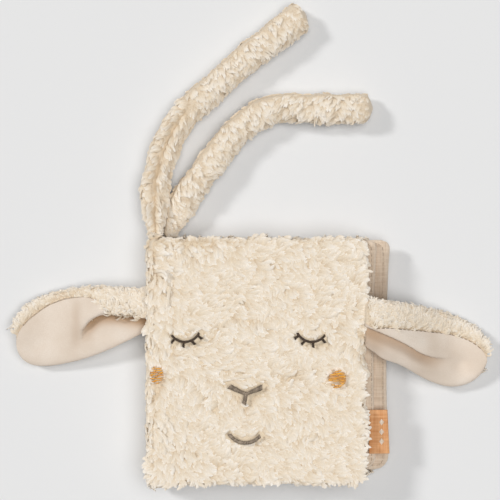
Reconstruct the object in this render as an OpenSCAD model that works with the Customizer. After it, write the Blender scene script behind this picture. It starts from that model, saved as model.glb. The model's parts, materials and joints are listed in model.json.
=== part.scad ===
// Soft sensory book, closed and lying on its back, with a sleepy sheep face on
// its furry front cover, two ears and two plush ties. Millimetres, Z up. The
// origin is the middle of the back cover's flat underside, X points from the
// spine to the free edges and Y to the top of the book, where the ties are.

/* [Covers] */
// height of both covers, bottom edge to top edge
book_height = 150; // [120:1:190]
// width of the back cover with the spine's pile
book_width = 144; // [120:1:180]
// how far the front cover's free edge stops short of the back cover's
front_short = 6.6; // [4:0.1:10]
// corner radius of the covers
cover_corner = 7; // [4:0.5:14]
// thickness of the back cover
back_thick = 9.5; // [8:0.1:14]
// thickness of the front cover
front_thick = 10.3; // [9:0.1:14]
// depth of the pile that is mitred along the fold
fold_pile = 4; // [3:0.1:5]
// height of the soft lumps in the front pile
lump_height = 0.55; // [0:0.05:0.9]

/* [Pages] */
// thickness of one padded leaf
leaf_thick = 5; // [3:0.1:7]
// height of the leaves
page_height = 141; // [112:1:180]
// how far the leaves sit above the middle of the covers
page_lift = 3.3; // [0:0.1:4]
// how far the lower leaf stands out past the back cover
low_leaf_out = 3.2; // [0:0.1:6]
// how far the upper leaf stands out past the front cover
high_leaf_out = 2.6; // [0:0.1:6]
// corner radius of the leaves
leaf_corner = 6; // [3:0.5:10]

/* [Ears] */
// length of the left ear from the spine
ear_length_left = 79; // [60:1:95]
// length of the right ear from the front cover
ear_length_right = 70; // [55:1:90]
// half of an ear's greatest width
ear_half_wide = 22; // [16:0.5:26]
// half of an ear's width at its root
ear_half_root = 12.5; // [9:0.5:15]
// depth of an ear's fur and wadding at its middle
ear_fur = 7; // [5:0.1:8]
// thickness of the smooth velour face
velour_thick = 1.4; // [0.8:0.1:2.4]
// height of the pleat in the velour
pleat_height = 2.2; // [0:0.1:3]
// height of the left ear's root above the middle of the spine
left_ear_up = 29.4; // [15:0.1:40]
// how far the left ear's tip hangs below its root
left_ear_drop = 16.5; // [5:0.1:30]
// height of the right ear's root above the middle of the front cover
right_ear_up = 23.6; // [15:0.1:40]
// how far the right ear's tip hangs below its root
right_ear_drop = 21.7; // [5:0.1:30]
// width of the fur that rolls over the upper edge of the left ear
left_ear_band = 15; // [6:0.5:18]
// width of the fur that rolls over the upper edge of the right ear
right_ear_band = 14; // [6:0.5:18]

/* [Ties] */
// diameter of a plush tie
tie_diameter = 17; // [12:0.5:17]
// diameter of a tie where it is sewn in
tie_root_diameter = 7.6; // [6:0.1:8]

/* [Face] */
// width of the dark eye thread
eye_thread = 1.4; // [0.8:0.1:2.4]
// radius of the arc of a closed eye
eye_radius = 9.6; // [7:0.1:12]
// distance from the fold edge of the front cover to the middle of the face
face_from_fold = 57.8; // [50:0.1:68]
// distance from the middle of the face to the right cheek
cheek_from_face = 53.1; // [44:0.1:58]
// distance between the two eyes
eye_spacing = 75.8; // [60:0.2:84]
// diameter of a cheek
cheek_diameter = 10.4; // [7:0.2:12]
// height that the embroidery stands up from the cloth under it
thread_height = 0.8; // [0.4:0.1:1.5]

/* [Label] */
// length of the folded ribbon label along the edge
label_length = 26.4; // [18:0.2:34]
// how far the label stands out past the front cover
label_out = 9.6; // [6:0.2:16]

/* [Hidden] */
$fn = 32;

// clearance between soft parts that move against each other
soft_gap = 0.4;
// clearance between soft parts that lie on each other in one cover
layer_gap = 0.25;
// thickness of a cover's lining cloth
lining_thick = 1;
// clearance round a sealed padding
pocket_gap = 0.1;

half_height = book_height / 2;
half_width = book_width / 2;
fold_x = -half_width + fold_pile;
spine_in = 5;
back_left = fold_x + spine_in;
page_left = back_left + soft_gap;

low_leaf_z = back_thick + soft_gap;
high_leaf_z = low_leaf_z + leaf_thick + soft_gap;
pages_top = high_leaf_z + leaf_thick;
front_z = pages_top + soft_gap;
face_z = front_z + front_thick;
fold_z = face_z - fold_pile;
front_left = fold_x + soft_gap;
front_right = half_width - front_short;
low_leaf_right = half_width + low_leaf_out;
high_leaf_right = front_right + high_leaf_out;

cream = [0.92, 0.88, 0.81];
velour_tone = [0.87, 0.81, 0.75];
linen_tone = [0.70, 0.60, 0.50];
dark_tone = [0.30, 0.24, 0.18];
grey_tone = [0.58, 0.51, 0.45];
orange_tone = [0.84, 0.58, 0.20];
ribbon_tone = [0.76, 0.55, 0.38];
wadding_tone = [0.96, 0.96, 0.95];

// A solid skin stretched over a row of closed rings, with a flat end at the
// first and the last ring. Rings run anticlockwise seen from the last one.
module skin(rings) {
    n = len(rings[0]);
    last = (len(rings) - 1) * n;
    points = [for (ring = rings) each ring];
    sides = [
        for (k = [0 : len(rings) - 2], i = [0 : n - 1])
            let (a = k * n + i, b = k * n + (i + 1) % n)
                each [[a, a + n, b + n], [a, b + n, b]]
    ];
    first_end = [[for (i = [0 : n - 1]) i]];
    last_end = [[for (i = [n - 1 : -1 : 0]) last + i]];
    polyhedron(points, concat(first_end, sides, last_end), convexity = 6);
}

function turned(rings) = [for (k = [len(rings) - 1 : -1 : 0]) rings[k]];
function clamp(v, low, high) = min(high, max(low, v));
function soft_rise(e) = e >= 1 ? 1 : sqrt(max(0, 1 - (1 - e) * (1 - e)));
function mix(a, b, t) = a + (b - a) * t;

// Outline of a rounded rectangle at one height, inset on every side
corner_steps = 5;
function round_ring(x0, x1, y0, y1, radius, inset, z) =
    let (
        r = max(0.5, radius - inset * 0.5),
        left = x0 + inset + r, right = x1 - inset - r,
        low = y0 + inset + r, high = y1 - inset - r,
        centres = [[right, high], [left, high], [left, low], [right, low]]
    )
    [
        for (c = [0 : 3], s = [0 : corner_steps])
            let (turn = c * 90 + s * 90 / corner_steps)
                [centres[c][0] + r * cos(turn), centres[c][1] + r * sin(turn), z]
    ];

// Back cover: plush outside with a pocket for the padding, and a linen lining
back_pocket_inset = 9;
back_seam_inset = 2.4;
back_seat_z = back_thick - lining_thick;
back_pocket_z = back_thick * 0.5;

function back_ring(inset, z) =
    round_ring(back_left, half_width, -half_height, half_height, cover_corner, inset, z);

module back_plush() {
    color(cream)
        skin(turned([
            back_ring(back_pocket_inset, back_pocket_z),
            back_ring(back_pocket_inset, back_seat_z),
            back_ring(back_seam_inset, back_seat_z),
            back_ring(0.7, back_seat_z - 1.2),
            back_ring(0, back_seat_z * 0.55),
            back_ring(0.8, back_seat_z * 0.22),
            back_ring(3, 0)
        ]));
}

module back_padding() {
    gap = back_pocket_inset + pocket_gap;
    color(wadding_tone)
        skin([
            back_ring(gap, back_pocket_z + pocket_gap),
            back_ring(gap, back_seat_z)
        ]);
}

module back_lining() {
    color(linen_tone)
        skin([
            back_ring(back_seam_inset, back_seat_z),
            back_ring(back_seam_inset - 0.5, back_seat_z + lining_thick * 0.5),
            back_ring(back_seam_inset + 0.4, back_thick)
        ]);
}

// Spine: a padded plush wall from the back cover up to the fold line
spine_rows = 34;
spine_end_roll = 7;

function spine_pile(y) = fold_pile * mix(0.55, 1, soft_rise((half_height - abs(y)) / spine_end_roll));
function spine_lump(y, z) = 0.35 * (1 + sin(29 * y + 23 * z)) * (1 - abs(y) / half_height);

function spine_ring(y) =
    let (
        end = soft_rise((half_height - abs(y)) / spine_end_roll),
        out = spine_pile(y),
        crown = fold_z - soft_gap - (1 - end) * 1.5,
        wall_top = pages_top - (1 - end) * 0.5,
        outer_z = [0.10, 0.28, 0.46, 0.64, 0.80]
    )
    concat(
        [[back_left, y, 0], [back_left, y, wall_top], [fold_x - soft_gap, y, wall_top]],
        [[fold_x - soft_gap, y, crown], [fold_x - out * 0.5, y, crown - out * 0.42]],
        [
            for (k = [4 : -1 : 0])
                [fold_x - out + spine_lump(y, 40 * k), y, outer_z[k] * crown]
        ],
        [[fold_x - out * 0.55, y, 0]]
    );

module spine_plush() {
    color(cream)
        skin([
            for (k = [spine_rows : -1 : 0])
                let (t = k / spine_rows)
                    spine_ring(-half_height * cos(180 * t))
        ]);
}

// Pages: two padded leaves sewn together along the spine, with a slot between
leaf_edge = 0.45;
page_join = 5;
page_low_y = page_lift - page_height / 2;
page_high_y = page_lift + page_height / 2;

module leaf(right, z) {
    skin([
        for (step = [[3.2, 0], [1.2, 0.12], [0, leaf_edge], [0, 1 - leaf_edge], [1.2, 0.88], [3.2, 1]])
            round_ring(page_left, right, page_low_y, page_high_y, leaf_corner,
                       step[0], z + leaf_thick * step[1])
    ]);
}

module pages() {
    color(linen_tone)
        union() {
            leaf(low_leaf_right, low_leaf_z);
            leaf(high_leaf_right, high_leaf_z);
            translate([page_left + 3.2, page_low_y + leaf_corner, low_leaf_z + leaf_thick / 2])
                cube([page_join, page_height - 2 * leaf_corner, leaf_thick + soft_gap]);
        }
}

// Front cover: a grid of lumpy pile that rolls down to the free edges and is
// mitred along the fold, with flat places under the embroidery
front_columns = 40;
front_rows = 42;
arc_rows = 4;
edge_roll = 9;
fold_roll = 10;
front_edge_z = front_z + front_thick * 0.45;
front_seat_z = front_z + lining_thick;
front_pocket_z = front_z + front_thick * 0.52;
front_pocket_inset = 8.4;
front_seam_inset = 2.4;
front_mid_x = (front_left + front_right) / 2;
front_half = (front_right - front_left) / 2;

face_x = front_left + face_from_fold;
eye_y = book_height * 0.143;
eye_left_x = face_x - eye_spacing / 2;
eye_right_x = face_x + eye_spacing / 2;
nose_tip = [face_x - 1.4, -book_height * 0.127];
mouth_mid = [face_x - 1.8, -book_height * 0.249];
mouth_radius = 11.1;
cheek_right_at = [face_x + cheek_from_face, -book_height * 0.069];
cheek_left_y = -book_height * 0.054;
cheek_slope = 0.5;
fold_flat = cheek_diameter + 1;

function row_turn(j) = j <= arc_rows ? 90 * j / arc_rows : 90;
function row_y(j) =
    j <= arc_rows
        ? -half_height + cover_corner * (1 - cos(row_turn(j)))
        : j >= front_rows - arc_rows
            ? -row_y(front_rows - j)
            : mix(-half_height + cover_corner, half_height - cover_corner,
                  (j - arc_rows) / (front_rows - 2 * arc_rows));
function row_inset(j) = cover_corner * (1 - sin(row_turn(min(j, front_rows - j))));
function column_share(i) = i / front_columns - 0.07 * sin(360 * i / front_columns);
function front_x(i, j) = mix(front_left + row_inset(j), front_right - row_inset(j), column_share(i));

function near(x, y, cx, cy, half_x, half_y) = abs(x - cx) < half_x && abs(y - cy) < half_y;
function is_flat(x, y) =
    near(x, y, eye_left_x, eye_y - 7.5, 16, 13) ||
    near(x, y, eye_right_x, eye_y - 7.5, 16, 13) ||
    near(x, y, nose_tip[0], nose_tip[1], 15, 13) ||
    near(x, y, mouth_mid[0], mouth_mid[1] - 7, 15, 11) ||
    near(x, y, cheek_right_at[0], cheek_right_at[1], 10, 10);
function is_cheek(x, y) = near(x, y, front_left, cheek_left_y, fold_flat + 2.5, fold_flat);

function lump(x, y) =
    0.5 * sin(27 * x + 9 * y + 55 * sin(7 * y)) + 0.35 * sin(31 * y - 14 * x + 40 * sin(8 * x))
    + 0.15 * sin(44 * x + 39 * y);

function front_height(x, y, left, right) =
    let (
        free = min(right - x, half_height - abs(y)),
        fold = x - left,
        rolled = mix(front_edge_z, face_z - lump_height, soft_rise(max(0, free) / edge_roll)),
        sloped = mix(fold_z, face_z - lump_height, soft_rise(max(0, fold) / fold_roll)),
        fade = clamp(min(free, fold) / edge_roll, 0, 1)
    )
    is_cheek(x, y) ? min(rolled, fold_z + max(0, fold) * cheek_slope, face_z - lump_height)
    : is_flat(x, y) ? min(rolled, sloped)
    : min(rolled, sloped) + fade * lump_height * lump(x, y);

front_grid = [
    for (j = [0 : front_rows], i = [0 : front_columns])
        let (x = front_x(i, j), y = row_y(j))
            [x, y, front_height(x, y, front_left + row_inset(j), front_right - row_inset(j))]
];

function grid_at(i, j) = j * (front_columns + 1) + i;
rim = concat(
    [for (i = [0 : front_columns]) grid_at(i, 0)],
    [for (j = [1 : front_rows]) grid_at(front_columns, j)],
    [for (i = [front_columns - 1 : -1 : 0]) grid_at(i, front_rows)],
    [for (j = [front_rows - 1 : -1 : 1]) grid_at(0, j)]
);

// Where a side point of the rim comes in its row of points
function rim_right(j) = front_columns + j;
function rim_top(i) = 2 * front_columns + front_rows - i;
function rim_left(j) = j == 0 ? 0 : 2 * front_columns + 2 * front_rows - j;

// The rim drawn in by an inset, at one height
function drawn_rim(inset, z) = [
    for (k = rim)
        [
            mix(front_mid_x, front_grid[k][0], 1 - inset / front_half),
            front_grid[k][1] * (1 - inset / half_height),
            z
        ]
];

module front_plush() {
    n = len(rim);
    base = len(front_grid);
    under = [
        [0.7, front_seat_z + 1.2], [front_seam_inset, front_seat_z],
        [front_pocket_inset, front_seat_z], [front_pocket_inset, front_pocket_z]
    ];
    points = concat(front_grid, [for (u = under) each drawn_rim(u[0], u[1])]);
    loops = concat([rim], [for (k = [0 : len(under) - 1]) [for (i = [0 : n - 1]) base + k * n + i]]);
    top = [
        for (j = [0 : front_rows - 1], i = [0 : front_columns - 1])
            let (a = grid_at(i, j), b = grid_at(i + 1, j), c = grid_at(i + 1, j + 1), d = grid_at(i, j + 1))
                each [[a, c, b], [a, d, c]]
    ];
    sides = [
        for (k = [0 : len(loops) - 2], i = [0 : n - 1])
            let (a = loops[k][i], b = loops[k][(i + 1) % n],
                 c = loops[k + 1][(i + 1) % n], d = loops[k + 1][i])
                each [[a, b, c], [a, c, d]]
    ];
    seat = loops[len(loops) - 1];
    low = rim_left(1);
    high = rim_left(front_rows - 1);
    roof = concat(
        [for (i = [0 : front_columns - 1]) [low, i, i + 1]],
        [[low, front_columns, rim_right(1)]],
        [
            for (j = [1 : front_rows - 2])
                each [
                    [rim_left(j), rim_right(j), rim_right(j + 1)],
                    [rim_left(j), rim_right(j + 1), rim_left(j + 1)]
                ]
        ],
        [[high, rim_right(front_rows - 1), rim_top(front_columns)]],
        [for (i = [front_columns : -1 : 1]) [high, rim_top(i), rim_top(i - 1)]]
    );
    color(cream)
        polyhedron(points, concat(top, sides, [for (f = roof) [seat[f[0]], seat[f[1]], seat[f[2]]]]),
                   convexity = 6);
}

function front_ring(inset, z) =
    round_ring(front_left, front_right, -half_height, half_height, cover_corner + inset * 0.8, inset, z);

module front_padding() {
    gap = front_pocket_inset + pocket_gap;
    color(wadding_tone)
        skin([front_ring(gap, front_seat_z), front_ring(gap, front_pocket_z - pocket_gap)]);
}

module front_lining() {
    color(linen_tone)
        skin([
            front_ring(front_seam_inset + 0.4, front_z),
            front_ring(front_seam_inset - 0.4, front_z + lining_thick * 0.5),
            front_ring(front_seam_inset, front_seat_z)
        ]);
}

// Embroidery: flat threads that lie on the flat places of the pile
thread_z = face_z - lump_height + 0.05;

function line_way(line, k) =
    let (d = line[min(k + 1, len(line) - 1)] - line[max(k - 1, 0)])
        d / norm(d);
function line_side(line, k, reach) =
    let (way = line_way(line, k))
        line[k] + reach * [-way[1], way[0]];

// A flat thread along a line, with blunt points at its two ends
module thread(line, width) {
    last = len(line) - 1;
    polygon(concat(
        [line[0] - line_way(line, 0) * width * 0.4],
        [for (k = [0 : last]) line_side(line, k, -width / 2)],
        [line[last] + line_way(line, last) * width * 0.4],
        [for (k = [last : -1 : 0]) line_side(line, k, width / 2)]
    ));
}

curve_steps = 9;
function curve(radius, start, finish) = [
    for (k = [0 : curve_steps])
        let (turn = mix(start, finish, k / curve_steps))
            radius * [cos(turn), sin(turn)]
];

lash_length = 3.2;
lash_turns = [232, 266, 294, 323];
lash_leans = [0, 2, 20, 0];

module closed_eye(centre, side) {
    translate([centre[0], centre[1], thread_z])
        linear_extrude(thread_height) {
            thread(side > 0 ? curve(eye_radius, 216, 333) : curve(eye_radius, 207, 324), eye_thread);
            for (k = [0 : 3]) {
                turn = side > 0 ? lash_turns[k] : 540 - lash_turns[k];
                lean = side > 0 ? turn + lash_leans[k] : turn - lash_leans[k];
                root = eye_radius * [cos(turn), sin(turn)];
                thread([root, root + lash_length * [cos(lean), sin(lean)]], eye_thread);
            }
        }
}

module eye_left() {
    color(dark_tone)
        closed_eye([eye_left_x, eye_y], 1);
}

module eye_right() {
    color(dark_tone)
        closed_eye([eye_right_x, eye_y], -1);
}

nose_wing = 9.8;
nose_rise = 4.2;
nose_stem = 5.4;
nose_thread = 1.9;
mouth_thread = 1.8;

module nose() {
    color(grey_tone)
        translate([nose_tip[0], nose_tip[1], thread_z])
            linear_extrude(thread_height) {
                thread([[-nose_wing, nose_rise], [0, 0], [nose_wing, nose_rise]], nose_thread);
                thread([[0, 0], [-1, -nose_stem]], nose_thread * 1.1);
            }
}

module mouth() {
    color(grey_tone)
        translate([mouth_mid[0], mouth_mid[1], thread_z])
            linear_extrude(thread_height)
                thread(curve(mouth_radius, 211, 322), mouth_thread);
}

module cheek_right() {
    color(orange_tone)
        translate([cheek_right_at[0], cheek_right_at[1], thread_z])
            cylinder(d = cheek_diameter, h = thread_height);
}

module cheek_left() {
    tilt = atan(cheek_slope);
    reach = cheek_diameter / 2 * cos(tilt) + thread_height * sin(tilt) + 0.2 + soft_gap;
    color(orange_tone)
        translate([front_left + reach, cheek_left_y, fold_z + reach * cheek_slope + 0.12])
            rotate([0, -tilt, 0])
                cylinder(d = cheek_diameter * 0.86, h = thread_height);
}

// Label: a short ribbon folded double and sewn into the front cover's edge
label_top_y = -book_height * 0.197;
label_left = front_right - front_seam_inset + 0.7;

module label() {
    color(ribbon_tone)
        skin([
            for (step = [[0.2, 0], [0, 0.25], [0, 0.75], [0.2, 1]])
                round_ring(label_left, front_right + label_out, label_top_y - label_length,
                           label_top_y, 1, step[0], front_z + 0.05 + (lining_thick - 0.1) * step[1])
        ]);
}

// Ears: a furry back that rolls over the upper edge, and a velour face that
// is pleated from the root. A side is -1 for the left and 1 for the right.
ear_stations = 18;
ear_across = 12;

function ear_side(e) = e[0];
function ear_root_x(e) = e[1];
function ear_root_y(e) = e[2];
function ear_drop(e) = e[3];
function ear_bend(e) = e[4];
function ear_length(e) = e[5];
function ear_low_root(e) = e[6];
function ear_low_tip(e) = e[7];
function ear_band(e, a) = e[8] * lookup(a, e[9]);

ear_tip_z = 0.7;
ear_gap = 0.8;
left_ear = [
    -1, -half_width - soft_gap, left_ear_up, left_ear_drop, 0,
    ear_length_left, back_thick - 0.1, ear_tip_z, left_ear_band,
    [[0, 1], [0.27, 1], [0.36, 0.53], [0.46, 0.3], [0.7, 0.33], [0.85, 0.4], [1, 0.33]]
];
right_ear = [
    1, front_right + soft_gap, right_ear_up, right_ear_drop, 1,
    ear_length_right, front_z + 0.1, ear_tip_z, right_ear_band,
    [[0, 1], [0.35, 0.96], [0.56, 0.79], [0.78, 0.64], [0.92, 0.43], [1, 0.36]]
];

ear_belly = 0.6;
function ear_half(a) =
    a < ear_belly
        ? mix(ear_half_root, ear_half_wide, sin(90 * a / ear_belly))
        : ear_half_wide * sqrt(max(0.002, 1 - pow((a - ear_belly) / (1 - ear_belly), 2)));
function ear_mid_y(e, a) = ear_root_y(e) - ear_drop(e) * mix(a, sin(90 * a), ear_bend(e));
function ear_low(e, a) =
    mix(ear_low_tip(e), ear_low_root(e), (1 + cos(180 * min(1, a / 0.82))) / 2)
    + 3.2 * pow(max(0, (a - 0.7) / 0.3), 2);

// share of the width, -1 at the lower edge and 1 at the upper edge
function ear_seam(e, a) = clamp(1 - ear_band(e, a) / ear_half(a), -0.5, 0.84);
function ear_swell(v) = pow(max(0, 1 - v * v), 0.4);
function ear_pleat(a, v) =
    let (fade = clamp(1.25 - 1.5 * a, 0, 1), d = v + 0.22 + 0.15 * a)
        pleat_height * fade * (d > 0 ? exp(-3 * d) * clamp(d * 9, 0, 1) : -0.5 * exp(5 * d));
function ear_top(e, a, v) =
    ear_low(e, a) + 0.6 + 1.4 * v * v + mix(1, ear_fur, ear_swell(v)) + velour_thick + ear_gap
    + ear_pleat(a, v);
function ear_under(e, a, v) =
    ear_low(e, a) + 2.2 * pow(abs(v), 3) + 0.4 * (1 + sin(400 * a + 150 * v)) * ear_swell(v);

function ear_point(e, a, v, z) =
    [ear_root_x(e) + ear_side(e) * ear_length(e) * a, ear_mid_y(e, a) + v * ear_half(a), z];
function ear_share(k) = sin(90 * k / ear_stations);
function ear_order(e, rings) = ear_side(e) > 0 ? rings : turned(rings);

function fur_top(e, a, v) =
    let (step = clamp((v - ear_seam(e, a)) * 14, 0, 1))
        ear_top(e, a, v) - (velour_thick + ear_gap) * (1 - step)
        + step * (0.9 + 0.5 * sin(700 * a)) * ear_swell(v);

module ear_plush(e) {
    skin(ear_order(e, [
        for (k = [0 : ear_stations])
            let (a = ear_share(k), seam = ear_seam(e, a))
                concat(
                    [
                        for (i = [0 : ear_across - 1])
                            let (v = -cos(180 * i / ear_across))
                                ear_point(e, a, v, ear_under(e, a, v))
                    ],
                    [ear_point(e, a, 1, fur_top(e, a, 0.98))],
                    [
                        for (v = [0.9, 0.45, 0.08, 0.005])
                            let (w = seam + (1 - seam) * v)
                                ear_point(e, a, w, fur_top(e, a, w))
                    ],
                    [
                        for (v = [0, 0.15, 0.3, 0.5, 0.7, 0.86, 1])
                            let (w = seam + (-1 - seam) * v)
                                ear_point(e, a, w, fur_top(e, a, w))
                    ]
                )
    ]));
}

module ear_velour(e) {
    shares = [0.02, 0.15, 0.3, 0.5, 0.7, 0.86, 0.97];
    skin(ear_order(e, [
        for (k = [0 : ear_stations - 2])
            let (a = max(0.01, ear_share(k)), seam = ear_seam(e, a))
                concat(
                    [
                        for (s = [6 : -1 : 0])
                            let (w = mix(seam, -1, shares[s]))
                                ear_point(e, a, w, ear_top(e, a, w) - velour_thick)
                    ],
                    [
                        for (s = [0 : 6])
                            let (w = mix(seam, -1, shares[s]))
                                ear_point(e, a, w, ear_top(e, a, w))
                    ]
                )
    ]));
}

module left_ear_plush() {
    color(cream)
        ear_plush(left_ear);
}

module left_ear_velour() {
    color(velour_tone)
        ear_velour(left_ear);
}

module right_ear_plush() {
    color(cream)
        ear_plush(right_ear);
}

module right_ear_velour() {
    color(velour_tone)
        ear_velour(right_ear);
}

// Ties: soft round cords sewn into the top of the spine. Each route is the
// centre line, hand set, in millimetres past the top edge in Y.
tie_sides = 10;
tie_rings_a_leg = 5;
tie_high = tie_diameter / 2 + 0.1;
upper_route = [
    [-66, 0.8, 14], [-66.5, 17, 12.5], [-66, 33, 10], [-62, 49, tie_high], [-56, 63, tie_high],
    [-47, 76, tie_high], [-35, 87, tie_high], [-22, 99, tie_high], [-9, 110, tie_high],
    [5, 121, tie_high], [19, 132, tie_high], [25, 136, tie_high]
];
lower_route = [
    [-59, 0.8, 5.4], [-50, 20, 8.2], [-40, 35, tie_high], [-30, 48, tie_high], [-19, 62, tie_high],
    [-7, 72, tie_high], [7, 78, tie_high], [23, 78.5, tie_high], [39, 78, tie_high],
    [55, 78, tie_high], [66, 78, tie_high]
];

function route_at(route, k) = route[clamp(k, 0, len(route) - 1)];
function spline(p, q, r, s, t) =
    0.5 * (2 * q + (r - p) * t + (2 * p - 5 * q + 4 * r - s) * t * t
           + (3 * q - p - 3 * r + s) * t * t * t);
function route_line(route) = [
    for (k = [0 : len(route) - 2], m = [0 : tie_rings_a_leg - 1])
        spline(route_at(route, k - 1), route[k], route[k + 1], route_at(route, k + 2),
               m / tie_rings_a_leg),
    route[len(route) - 1]
];
function tie_radius(k, last) =
    let (
        grow = clamp(k / (tie_rings_a_leg * 2.4), 0, 1),
        close = k == 0 ? 0.8 : k == last ? 0.4 : k == last - 1 ? 0.75 : k == last - 2 ? 0.93 : 1,
        knobs = 1 + 0.035 * sin(k * 97)
    )
    mix(tie_root_diameter, tie_diameter * 0.965, grow) / 2 * close * (grow < 1 ? 1 : knobs);

module tie(route) {
    line = [for (p = route_line(route)) [p[0], p[1] + half_height, p[2]]];
    last = len(line) - 1;
    color(cream)
        skin([
            for (k = [0 : last])
                let (
                    ahead = line[min(last, k + 1)] - line[max(0, k - 1)],
                    run = [ahead[0], ahead[1]] / norm([ahead[0], ahead[1]]),
                    r = tie_radius(k, last)
                )
                [
                    for (i = [0 : tie_sides - 1])
                        let (turn = 360 * i / tie_sides)
                            line[k] + r * [cos(turn) * run[1], -cos(turn) * run[0], sin(turn)]
                ]
        ]);
}

module tie_upper() {
    tie(upper_route);
}

module tie_lower() {
    tie(lower_route);
}

back_plush();
back_padding();
back_lining();
spine_plush();
left_ear_plush();
left_ear_velour();
tie_upper();
tie_lower();
pages();
front_plush();
front_padding();
front_lining();
eye_left();
eye_right();
nose();
mouth();
cheek_left();
cheek_right();
label();
right_ear_plush();
right_ear_velour();
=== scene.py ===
import json
import math

import bpy
import numpy as np
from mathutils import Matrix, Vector
from mathutils.bvhtree import BVHTree


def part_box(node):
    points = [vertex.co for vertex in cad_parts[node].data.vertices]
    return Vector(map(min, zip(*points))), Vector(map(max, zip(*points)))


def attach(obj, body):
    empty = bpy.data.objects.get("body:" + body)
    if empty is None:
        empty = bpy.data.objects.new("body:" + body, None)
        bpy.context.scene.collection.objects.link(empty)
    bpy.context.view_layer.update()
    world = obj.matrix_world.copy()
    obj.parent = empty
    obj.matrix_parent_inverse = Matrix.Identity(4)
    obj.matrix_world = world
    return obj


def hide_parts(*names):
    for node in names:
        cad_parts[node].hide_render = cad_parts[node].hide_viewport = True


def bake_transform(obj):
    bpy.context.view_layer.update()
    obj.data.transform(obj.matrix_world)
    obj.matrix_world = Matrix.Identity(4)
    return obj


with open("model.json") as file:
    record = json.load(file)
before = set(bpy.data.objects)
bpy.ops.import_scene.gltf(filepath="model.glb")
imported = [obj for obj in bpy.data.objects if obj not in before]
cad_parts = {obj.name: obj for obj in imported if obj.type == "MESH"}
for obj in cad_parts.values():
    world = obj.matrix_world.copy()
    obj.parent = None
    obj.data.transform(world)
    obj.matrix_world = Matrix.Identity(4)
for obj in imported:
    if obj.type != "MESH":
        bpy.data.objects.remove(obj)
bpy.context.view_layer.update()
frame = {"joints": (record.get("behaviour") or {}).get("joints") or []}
mm = 0.001


# A node's box in millimetres: its low and its high corner
def boxOf(node):
    return [np.array(corner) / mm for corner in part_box(node)]


frontLow, frontHigh = boxOf("front_plush")
backLow, backHigh = boxOf("back_plush")
spineLow = boxOf("spine_plush")[0]
pagesLow, pagesHigh = boxOf("pages")
labelLow, labelHigh = boxOf("label")
hinge = np.array(frame["joints"][0]["pos_m"]) / mm
foldX, foldZ = hinge[0], hinge[2]
halfHeight = frontHigh[1]
faceZ = frontHigh[2]
print("frame loaded, fold at", foldX, foldZ)


# Small helpers

# Vectors of length one
def unit(v):
    return v / np.maximum(np.linalg.norm(v, axis=-1, keepdims=True), 1e-9)


# The straight mix of a and b: a at t = 0, b at t = 1
def mix(a, b, t):
    return a + (b - a) * t


# The smooth step from 0 to 1: 3 t^2 - 2 t^3
def ease(t):
    t = np.clip(t, 0, 1)
    return t * t * (3 - 2 * t)


# A screen colour, 0 to 255, in linear light
def linear(red, green, blue):
    c = np.array([red, green, blue]) / 255
    return tuple(np.where(c <= 0.04045, c / 12.92, ((c + 0.055) / 1.055) ** 2.4))


# The run along a line at each of its points
def runOf(line):
    return np.append(0, np.cumsum(np.linalg.norm(np.diff(line, axis=0), axis=1)))


# A line's points at other runs along it
def lineAt(at, run, line):
    return np.stack([np.interp(at, run, column) for column in line.T], -1)


# Points of a grid to quads: each cell joins its four corners, and a closed
# grid joins its last column to the first.
def gridFaces(rows, columns, closed=False):
    r, c = np.meshgrid(np.arange(rows - 1), np.arange(columns if closed else columns - 1), indexing="ij")
    here, up, right = r * columns, (r + 1) * columns, (c + 1) % columns
    return np.stack([here + c, here + right, up + right, up + c], -1).reshape(-1, 4)


# The outline of a grid's points, once round
def outlineOf(rows, columns):
    return np.concatenate([np.arange(columns), np.arange(1, rows) * columns + columns - 1,
                           (rows - 1) * columns + np.arange(columns - 2, -1, -1),
                           np.arange(rows - 2, 0, -1) * columns])


# A thin closed shell: one grid of points, as many again behind it, and a rim
def shellFaces(rows, columns):
    count = rows * columns
    grid, edge = gridFaces(rows, columns), outlineOf(rows, columns)
    after = np.roll(edge, -1)
    return [grid, grid[:, ::-1] + count, np.stack([edge, edge + count, after + count, after], -1)]


# A tube of rings, with a fan at each end round one of the two last points
def tubeFaces(rings, sides):
    fan, last = np.arange(sides), (rings - 1) * sides
    after, tip = (fan + 1) % sides, np.full(sides, rings * sides)
    caps = np.concatenate([np.stack([tip, after, fan], -1),
                           np.stack([tip + 1, last + fan, last + after], -1)])
    return [gridFaces(rings, sides, True), caps]


# A grid whose outline runs on to a ring of points, closed by a fan round the
# last point
def bowlFaces(rows, columns):
    edge, count = outlineOf(rows, columns), rows * columns
    ring = count + np.arange(len(edge))
    after, tip = np.roll(ring, -1), np.full(len(edge), count + len(edge))
    return [gridFaces(rows, columns), np.stack([edge, ring, after, np.roll(edge, -1)], -1),
            np.stack([ring, tip, after], -1)]


# The same faces with their other side outward
def turnedOver(faceSets):
    return [f[:, ::-1] for f in faceSets]


# What the fur material reads on plain cloth, between the locks: near the root colour, so it carries the
# pile's painted shade
def plainCloth(count):
    return {"tip": np.full(count, 0.3), "tone": np.full(count, 0.5)}


# How far a rounded corner's outline is drawn in, by the distance to its end:
# r - sqrt(r^2 - (r - distance)^2)
def cornerInset(distance, r):
    return np.where(distance < r, r - np.sqrt(np.maximum(0, r * r - (r - distance) ** 2)), 0)


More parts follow.
